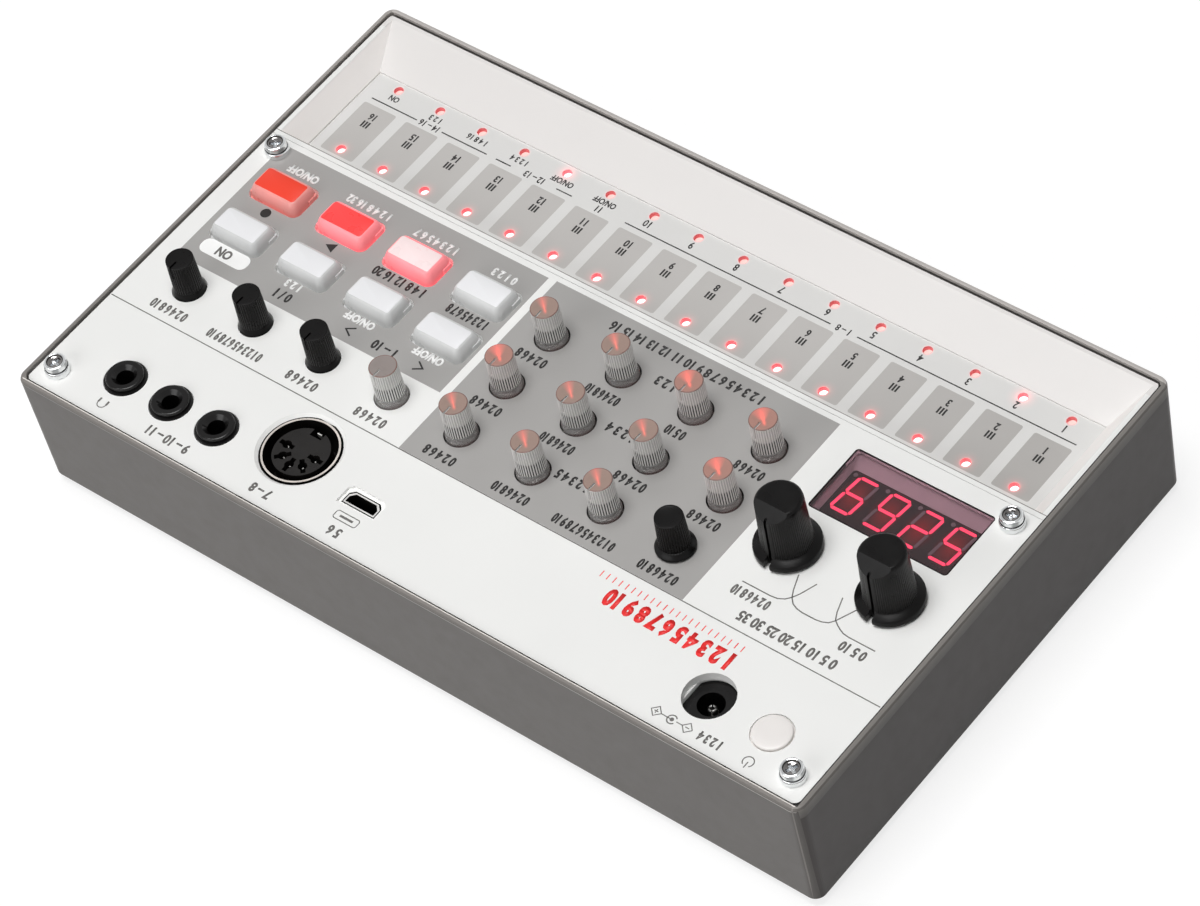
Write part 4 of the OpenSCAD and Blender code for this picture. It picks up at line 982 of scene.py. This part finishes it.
def contact_mesh():
    """Sprung blade of a round socket, narrower at its top."""
    outline = [(-0.28, -6.0), (0.28, -6.0), (0.28, -1.3), (0.2, -0.8), (-0.2, -0.8), (-0.28, -1.3)]
    return turned(solid("contact", loft([(outline, 0.0), (outline, 0.22)])), QUARTER_TURN, "X")


def make_contacts():
    lo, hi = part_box("power_jack_pin")
    place = ((lo.x + hi.x) / 2, (lo.y + hi.y) / 2, lo.z)
    pin = jack_pin_mesh((hi.z - lo.z) / MM)
    piece("power_pin", pin, "steel", "case", place, ["power_jack_pin"])
    socket = centre("midi_insert")
    blade = contact_mesh()
    for number, turn in enumerate(DIN_TURNS, 1):
        angle = math.radians(turn)
        x = socket.x - DIN_SLOT_R * MM * math.sin(angle)
        y = socket.y + DIN_SLOT_R * MM * math.cos(angle)
        piece(f"round_socket_blade_{number}", blade, "steel", "case",
              (x, y, PANEL + DIN_FACE * MM), turn=angle + BLADE_TWIST)
    tab = box_tool((-0.55, -5.5, -2.4), (0.55, -5.25, -1.3))
    piece("round_socket_tab", tab, "tab_metal", "case", (socket.x, socket.y, PANEL))


DOME = [(0, 0), (0.97, 0), (0.95, 0.06), (0.6, 0.13), (0, 0.16)]


def lamp_row(name, light_y, numbers, material):
    """Lit floors of the holes in the foil, a little domed, over the lamps."""
    dome, sides = lathe(DOME, 24)
    shapes = []
    for number in numbers:
        shapes.append(([(x + key_x(number), y + light_y, z + KEY_BOARD) for x, y, z in dome], sides))
    piece(name, solid(name, joined(shapes), 60), material, "case", replaces=["key_leds"])


def make_lamps():
    every = range(KEY_COUNT)
    lamp_row("step_lamps", STEP_LIGHT_Y, every, "lamp_hot")
    lamp_row("part_lamps_bright", PART_LIGHT_Y, BRIGHT_PARTS, "lamp_pink")
    lamp_row("part_lamps", PART_LIGHT_Y, [n for n in every if n not in BRIGHT_PARTS], "lamp_dim")


SEGMENTS = {"a": (0, 1, 1, 1), "b": (1, 1, 1, 0), "c": (1, 0, 1, -1), "d": (0, -1, 1, -1), "e": (0, 0, 0, -1),
            "f": (0, 1, 0, 0), "g": (0, 0, 1, 0)}
SHOWN = {"2": "abged", "5": "afgcd", "6": "afedcg", "9": "abcdfg"}
DIGITS = "5269"
DIGIT_W, DIGIT_H = 4.2, 8.35
SLANT = math.tan(math.radians(6.6))
SEGMENT_HALF, SEGMENT_GAP = 0.31, 0.12
DOT_R, DOT_X = 0.45, 2.85


def segment_outline(start, end):
    """Bar with pointed ends from one corner of a digit to the next, slanted as the digit is."""
    (x0, y0), (x1, y1) = start, end
    half, gap = SEGMENT_HALF, SEGMENT_GAP
    length = math.hypot(x1 - x0, y1 - y0)
    ux, uy = (x1 - x0) / length, (y1 - y0) / length
    shape = [(gap, 0), (gap + half, half), (length - gap - half, half), (length - gap, 0),
             (length - gap - half, -half), (gap + half, -half)]
    flat = [(x0 + ux * s - uy * t, y0 + uy * s + ux * t) for s, t in shape]
    return [(x + y * SLANT, y) for x, y in flat]


def circle(x, y, r, sides):
    turns = steps_between(0, math.tau * (sides - 1) / sides, sides - 1)
    return [(x + r * math.cos(t), y + r * math.sin(t)) for t in turns]


def make_digits():
    """Four digits of seven bars each: the shown bars glow, and the others are faint."""
    middle = centre("display_module")
    groups = {"segment_lit": [], "segment_dark": []}
    for number, digit in enumerate(DIGITS):
        shift = digit_x(number) / MM
        for letter, (ax, ay, bx, by) in SEGMENTS.items():
            ends = [((x - 0.5) * DIGIT_W, y * DIGIT_H / 2) for x, y in ((ax, ay), (bx, by))]
            outline = [(x + shift, y) for x, y in segment_outline(*sorted(ends))]
            groups["segment_lit" if letter in SHOWN[digit] else "segment_dark"].append(outline)
        groups["segment_dark"].append(circle(shift + DOT_X, -DIGIT_H / 2, DOT_R, 16))
    for material, outlines in groups.items():
        mesh = new_mesh(material, *joined(loft([(outline, 0), (outline, 0.12)]) for outline in outlines))
        piece("display_" + material, mesh, material, "case", (middle.x, middle.y, MODULE))


def make_shroud():
    """Pale funnel from the edge of the window down to the face of the display."""
    middle = centre("display_module")
    outer, mouth = rounded(32.3, 16.4, 1.0), rounded(31.9, 15.8, 0.8)
    face = [(x, y + 1.35) for x, y in rounded(30.1, 13.1, 0.8)]
    opening = new_mesh("tool", *loft([(face, 0.0), (face, 0.08), (mouth, 1.2), (mouth, 1.3)]))
    mesh = solid("display_shroud", loft([(outer, 0.03), (outer, 1.2)]), 20, [opening])
    piece("display_shroud", mesh, "shroud_white", "case", (middle.x, middle.y, MODULE))


# ---- Printing ----

INK = 0.02 * MM
INK_LIFT = 0.004 * MM
WIDEST = 0.8
THIN, FINE = 0.2, 0.24


class Ink:
    """Flat printed shapes of one colour, gathered into one thin mesh."""

    def __init__(self):
        self.work = bmesh.new()

    def shape(self, points):
        self.work.faces.new([self.work.verts.new((x * MM, y * MM, 0)) for x, y in points])

    def ring(self, x, y, r, width, start=0.0, end=360.0):
        turns = [math.radians(a) for a in steps_between(start, end, 32)]
        for a, b in zip(turns, turns[1:]):
            rim = [(r + width / 2, a), (r + width / 2, b), (r - width / 2, b), (r - width / 2, a)]
            self.shape([(x + q * math.cos(t), y + q * math.sin(t)) for q, t in rim])

    def line(self, points, width):
        """Line of constant width through points, with mitred corners."""
        left, right = [], []
        for i, (x, y) in enumerate(points):
            before = Vector(points[i]) - Vector(points[i - 1]) if i else None
            after = Vector(points[i + 1]) - Vector(points[i]) if i + 1 < len(points) else None
            ways = [way.normalized() for way in (before, after) if way is not None]
            along = sum(ways, Vector((0, 0))).normalized()
            across = Vector((-along.y, along.x)) * width / 2 / max(along.dot(ways[0]), 0.3)
            left.append((x + across.x, y + across.y))
            right.append((x - across.x, y - across.y))
        for i in range(len(points) - 1):
            self.shape([right[i], right[i + 1], left[i + 1], left[i]])

    def text(self, words, x0, x1, y0, y1, weight=0.11):
        """Words in a narrow bold face that fill a box, or stand in its middle where they are short."""
        font = bpy.data.curves.new("words", "FONT")
        font.body = words
        source = link("words", font)
        bpy.context.view_layer.update()
        outline = source.to_curve(bpy.context.evaluated_depsgraph_get(), apply_modifiers=False).copy()
        points = [point.co for spline in outline.splines for point in spline.bezier_points]
        left, right = min(p.x for p in points), max(p.x for p in points)
        low, high = min(p.y for p in points), max(p.y for p in points)
        tall = (y1 - y0 - 2 * weight) / (high - low)
        wide = min((x1 - x0 - 2 * weight) / (right - left), tall * WIDEST)
        place = Matrix.Translation(((x0 + x1) / 2, (y0 + y1) / 2, 0))
        shape = Matrix.Diagonal((wide, tall, 1, 1))
        outline.transform(place @ shape @ Matrix.Translation((-(left + right) / 2, -(low + high) / 2, 0)))
        outline.offset = weight
        outline.resolution_u = 3
        shown = link("outline", outline)
        bpy.context.view_layer.update()
        mesh = bpy.data.meshes.new_from_object(shown.evaluated_get(bpy.context.evaluated_depsgraph_get()))
        mesh.transform(Matrix.Diagonal((MM, MM, MM, 1)))
        self.work.from_mesh(mesh)
        bpy.data.meshes.remove(mesh)
        bpy.data.objects.remove(source)
        bpy.data.objects.remove(shown)

    def rows(self, rows, weight=0.11):
        """Rows of text: {(y0, y1): [(words, x0, x1)]}."""
        for (y0, y1), row in rows.items():
            for words, x0, x1 in row:
                self.text(words, x0, x1, y0, y1, weight)

    def print(self, name, height, material=None, slot="panel_white"):
        bmesh.ops.remove_doubles(self.work, verts=self.work.verts, dist=WELD)
        for v in bmesh.ops.extrude_face_region(self.work, geom=self.work.faces[:])["geom"]:
            if isinstance(v, bmesh.types.BMVert):
                v.co.z += INK
        bmesh.ops.recalc_face_normals(self.work, faces=self.work.faces)
        mesh = bpy.data.meshes.new(name)
        self.work.to_mesh(mesh)
        self.work.free()
        piece(name, mesh, material or name, "case", (0, 0, height + INK_LIFT))


FIVES = "0 5 10"
EVENS = "0 2 4 6 8"
SCALE = "0 2 4 6 8 10"
LONG_SCALE = "0 1 2 3 4 5 6 7 8 9 10"
COUNT = " ".join(str(n) for n in range(1, 17))
BLOCK_BLACK = {
    (27.1, 29.4): [(SCALE, -46, -37), (LONG_SCALE, -31, -16.5), (SCALE, -10.3, -1.7), (EVENS, 7.8, 15.3)],
    (13.1, 15.4): [(EVENS, -45, -37.8), (EVENS, -27.4, -20), (SCALE, -10, -2), (EVENS, 8, 15.2)],
    (-0.7, 1.6): [(EVENS, -44.8, -38), (FIVES, -26, -21.5), (SCALE, -10, -2), (EVENS, 8, 15.2)],
    (18.6, 20.9): [("1 2 3 4 5", -18, -10.4)],
    (4.7, 7): [("1 2 3 4", -18, -11.5)],
    (-9.1, -6.8): [("1 2 3", -17, -12.5)],
    (-15.3, -13): [(COUNT, -35.5, 5.7)],
    (12.4, 14.7): [("1 – 10", 35.2, 41), ("0 / 1", 61.4, 67.4)],
    (-2.3, 0): [("1 2 3 4 5 6 7 8", 24.3, 34.1), ("1 4 8 12 16 20", 40.3, 53.2)],
}
BLOCK_WHITE = {
    (9.5, 11.5): [("ON/OFF", 24.9, 33.7), ("ON/OFF", 42.9, 50.9), ("1 2 3", 61.8, 67)],
    (-14, -11.9): [
        ("0 1 2 3", 26.1, 32.5), ("1 2 3 4 5 6 7", 41.5, 52.4), ("1 2 4 8 16 32", 58.2, 70.9),
        ("ON/OFF", 77.1, 86.8),
    ],
}
PLATE_GREY = {
    (52.1, 54.2): [("1 2 3 4", -75.6, -70.6)],
    (51.8, 54.1): [("5 6", 15.1, 19.1), ("7 – 8", 32.1, 39.5), ("9 – 10 – 11", 52.4, 67.3)],
    (27, 29.3): [(EVENS, 25.4, 33), (EVENS, 43, 50.6), (LONG_SCALE, 57.5, 71.3), (SCALE, 77.3, 86.4)],
    (26.8, 29.2): [("0 5 10 15 20 25 30 35", -83.2, -59.6)],
    (22.6, 24.9): [(FIVES, -86, -80.2), (SCALE, -64, -55.5)],
}
FOIL_TEXT = {
    (-39.65, -38.05): [
        ("1 – 8", -35.2, -30.9), ("11", 25.2, 29.8), ("12 – 13", 39.6, 48.6), ("14 – 16", 68.9, 74.6),
    ],
    (-41.6, -40.15): [
        ("ON/OFF", 24.8, 30.2), ("ON/OFF", 35.7, 41.1), ("1 2 3 4", 47.2, 52.1), ("1 4 8 16", 57.2, 64.2),
        ("1 2 3", 69.9, 73.6), ("ON", 81.5, 84.0),
    ],
}
FOIL_LINES = [(-87.5, -36.5), (-30.1, 20.7), (34.3, 38.3), (50.1, 54.0), (56.4, 68.3), (74.9, 87.0)]
FOIL_LINE_Y = -38.8
PLAIN_PARTS = 10
BAR_PITCH = 0.68
TICKS, TICK_X, TICK_PITCH = 23, -65.8, 1.5
PILL = (81.8, 11.35)


def curve_graphic(ink):
    """Three joined response curves behind the two large knobs."""
    top, low = 21.6, 15.0
    falls = [(-86.6, top), (-80.5, top), (-79.3, top - 0.15), (-78.2, top - 0.6), (-77.2, top - 1.15),
             (-76.2, 19.7), (-75.4, 18.2), (-74.3, low)]
    band = [(-78.4, 15.4), (-76.9, 18.6), (-76.3, 19.9), (-75.5, 20.9), (-74.3, 21.4), (-73.0, top),
            (-70.0, top), (-68.6, 21.4), (-67.4, 20.9), (-66.3, 19.8), (-65.5, 18.3), (-64.2, low)]
    rises = [(-68.4, low), (-67.1, 18.4), (-66.3, 19.8), (-65.4, 20.8), (-64.2, 21.4), (-62.6, top),
             (-56.2, top)]
    for points in (falls, band, rises):
        ink.line(points, FINE)


def polarity_mark(ink, y):
    """Centre-positive power mark: two diamonds joined to an open ring."""
    minus, plus = -68.0, -60.9
    for x in (minus, plus):
        ink.line([(x - 1.15, y), (x, y + 1.15), (x + 1.15, y), (x, y - 1.15), (x - 1.15, y)], THIN)
        ink.line([(x - 0.45, y), (x + 0.45, y)], THIN)
    ink.line([(plus, y - 0.45), (plus, y - 0.12)], THIN)
    ink.line([(plus, y + 0.12), (plus, y + 0.45)], THIN)
    ink.ring(-64.45, y, 0.95, FINE, 215, 505)
    ink.shape(circle(-64.45, y, 0.42, 24))
    ink.line([(-66.85, y), (-65.5, y)], THIN)
    ink.line([(-64.0, y), (-62.05, y)], THIN)


def print_plate():
    black, white, grey, red, pill = [Ink() for _ in range(5)]
    black.rows(BLOCK_BLACK)
    black.line([(30.0, 14.6), (28.2, 13.5), (30.0, 12.4)], 0.35)
    black.line([(46.1, 14.6), (47.9, 13.5), (46.1, 12.4)], 0.35)
    black.shape([(63.5, -2.3), (65.8, -1.1), (63.5, 0.1)])
    black.shape(circle(81.8, -1.1, 1.15, 24))
    white.rows(BLOCK_WHITE, 0.12)
    white.shape([(PILL[0] + x, PILL[1] + y) for x, y in rounded(12.2, 3.7, 1.6)])
    grey.rows(PLATE_GREY)
    grey.line([(-94.8, 31.05), (94.8, 31.05)], 0.22)
    curve_graphic(grey)
    polarity_mark(grey, 53.1)
    grey.ring(-81.9, 53.1, 1.1, 0.22, 125, 415)
    grey.line([(-81.9, 53.15), (-81.9, 54.6)], 0.22)
    grey.ring(77.3, 52.95, 1.0, THIN, 0, 180)
    for x in (76.3, 78.3):
        grey.line([(x, 52.95), (x, 51.9)], 0.42)
    port = [(17.0 + x, 49.4 + y) for x, y in rounded(5.6, 1.9, 0.5)]
    grey.line(port + port[:1], THIN)
    grey.line([(15.4, 49.4), (18.6, 49.4)], 0.5)
    red.text("1 2 3 4 5 6 7 8 9 10", TICK_X, -36.5, 35.4, 39.5, 0.27)
    for tick in range(TICKS):
        x = TICK_X + tick * TICK_PITCH
        red.line([(x, 33.2), (x, 34.6)], THIN)
    black.print("print_black", PANEL)
    white.print("print_white", PANEL)
    grey.print("print_grey", PANEL)
    red.print("print_red", PANEL)
    pill.text("ON", 79, 85, 10.2, 12.5)
    pill.print("print_pill", PANEL + INK, "print_grey")


def print_foil():
    ink = Ink()
    ink.rows(FOIL_TEXT, 0.05)
    for x0, x1 in FOIL_LINES:
        ink.line([(x0, FOIL_LINE_Y), (x1, FOIL_LINE_Y)], 0.26)
    for index in range(KEY_COUNT):
        x = key_x(index) / MM
        words = str(index + 1)
        ink.text(words, x - 1.2, x + 1.2, -35.6, -33.8, 0.07)
        for bar in (-1, 0, 1):
            ink.line([(x + BAR_PITCH * bar, -33.3), (x + BAR_PITCH * bar, -31.6)], 0.4)
        if index < PLAIN_PARTS:
            ink.text(words, x - 1.2, x + 1.2, -41.7, -39.9, 0.05)
    ink.print("print_foil", FOIL, "print_dark", "key_foil")


# ---- The frame's own nodes ----

NODE_MATERIALS = {
    "case_plastic": ["bottom_case", "battery_door"],
    "panel_white": ["control_plate"],
    "frame_white": ["key_frame"],
    "key_foil": ["key_overlay"],
    "board_green": ["key_board", "main_board"],
    "component_black": ["board_parts", "knob_pots", "encoder_body", "large_pots", "button_switches"],
    "wire_grey": ["link_cable", "battery_leads"],
    "display_body": ["display_module"],
    "window_tint": ["display_window"],
    "steel": ["frame_screws", "board_screws", "battery_contacts", "bass_shaft", "treble_shaft"],
    "shield_metal": ["midi_shield"],
    "shell_metal": ["usb_shell"],
    "rubber": ["feet"],
    "cell_sleeve": ["battery_cells"],
    "socket_black": ["phone_jacks", "usb_insert", "power_jack"],
    "din_black": ["midi_insert"],
    "lamp_dim": ["panel_leds"],
}


def dress_nodes():
    for material, names in NODE_MATERIALS.items():
        for name in names:
            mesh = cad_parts[name].data
            mesh.materials.clear()
            mesh.materials.append(MATERIALS[material])
            soften(mesh, 30)


# ---- Stage ----

FLOOR_HALF = 2
UNSEEN_SKY = 0.03


def make_floor():
    """Pale floor that the camera sees as white, and that keeps the shadow of what stands on it."""
    corners = [(x * FLOOR_HALF, y * FLOOR_HALF, 0) for x, y in ((-1, -1), (1, -1), (1, 1), (-1, 1))]
    floor = link("floor", new_mesh("floor", corners, [[0, 1, 2, 3]]))
    shader = Shader("floor_pale", rgb(138, 138, 138))
    shader.surface(0.9, 4 * MM, 0.02 * MM)
    shader.paint(0.01)
    shader.glow((1, 1, 1, 1), shader.seen() * 0.79)
    floor.data.materials.append(shader.material)


def area_light(name, place, aim, size, power):
    data = bpy.data.lights.new(name, "AREA")
    data.shape = "RECTANGLE"
    data.size, data.size_y = size
    data.energy = power
    light = link(name, data)
    light.location = place
    light.rotation_euler = (Vector(aim) - Vector(place)).to_track_quat("-Z", "Y").to_euler()


def make_lights():
    """Two soft lamps, and a sky that is bright only where it is seen."""
    area_light("overhead_light", (0.05, 0.12, 1.4), (0, 0, 0), (0.9, 0.7), 16.8)
    area_light("rear_light", (0.25, 1.3, 0.75), (0, 0, 0.02), (1.2, 0.7), 7.0)
    world = bpy.data.worlds.new("studio")
    sky = Nodes(world, "Generated")
    sockets = sky.tree.nodes["Background"].inputs
    sky.put(sockets["Color"], sky.z.ramp(0.1, 0.9, 1.0, 0.5))
    sky.put(sockets["Strength"], sky.seen().ramp(0.0, 1.0, UNSEEN_SKY, 1.0))
    bpy.context.scene.world = world


CAMERA_PLACE = Vector((-0.47928, 0.40197, 0.7454))
CAMERA_TARGET = Vector((-0.01456, 0.01179, 0.0306))
CAMERA_ROLL = math.radians(-14.573)
CAMERA_LENS = 150.18


def make_camera():
    data = bpy.data.cameras.new("camera")
    data.sensor_width = 36.0
    data.lens = CAMERA_LENS
    data.clip_start, data.clip_end = 0.01, 20.0
    camera = link("camera", data)
    turn = (CAMERA_TARGET - CAMERA_PLACE).to_track_quat("-Z", "Y").to_matrix().to_4x4()
    camera.matrix_world = Matrix.Translation(CAMERA_PLACE) @ turn @ Matrix.Rotation(CAMERA_ROLL, 4, "Z")
    bpy.context.scene.camera = camera
    bpy.context.scene.view_settings.view_transform = "Standard"


make_camera()
dress_nodes()
make_knobs()
make_buttons()
make_screws()
make_contacts()
make_lamps()
make_digits()
make_shroud()
print_plate()
print_foil()
make_floor()
make_lights()
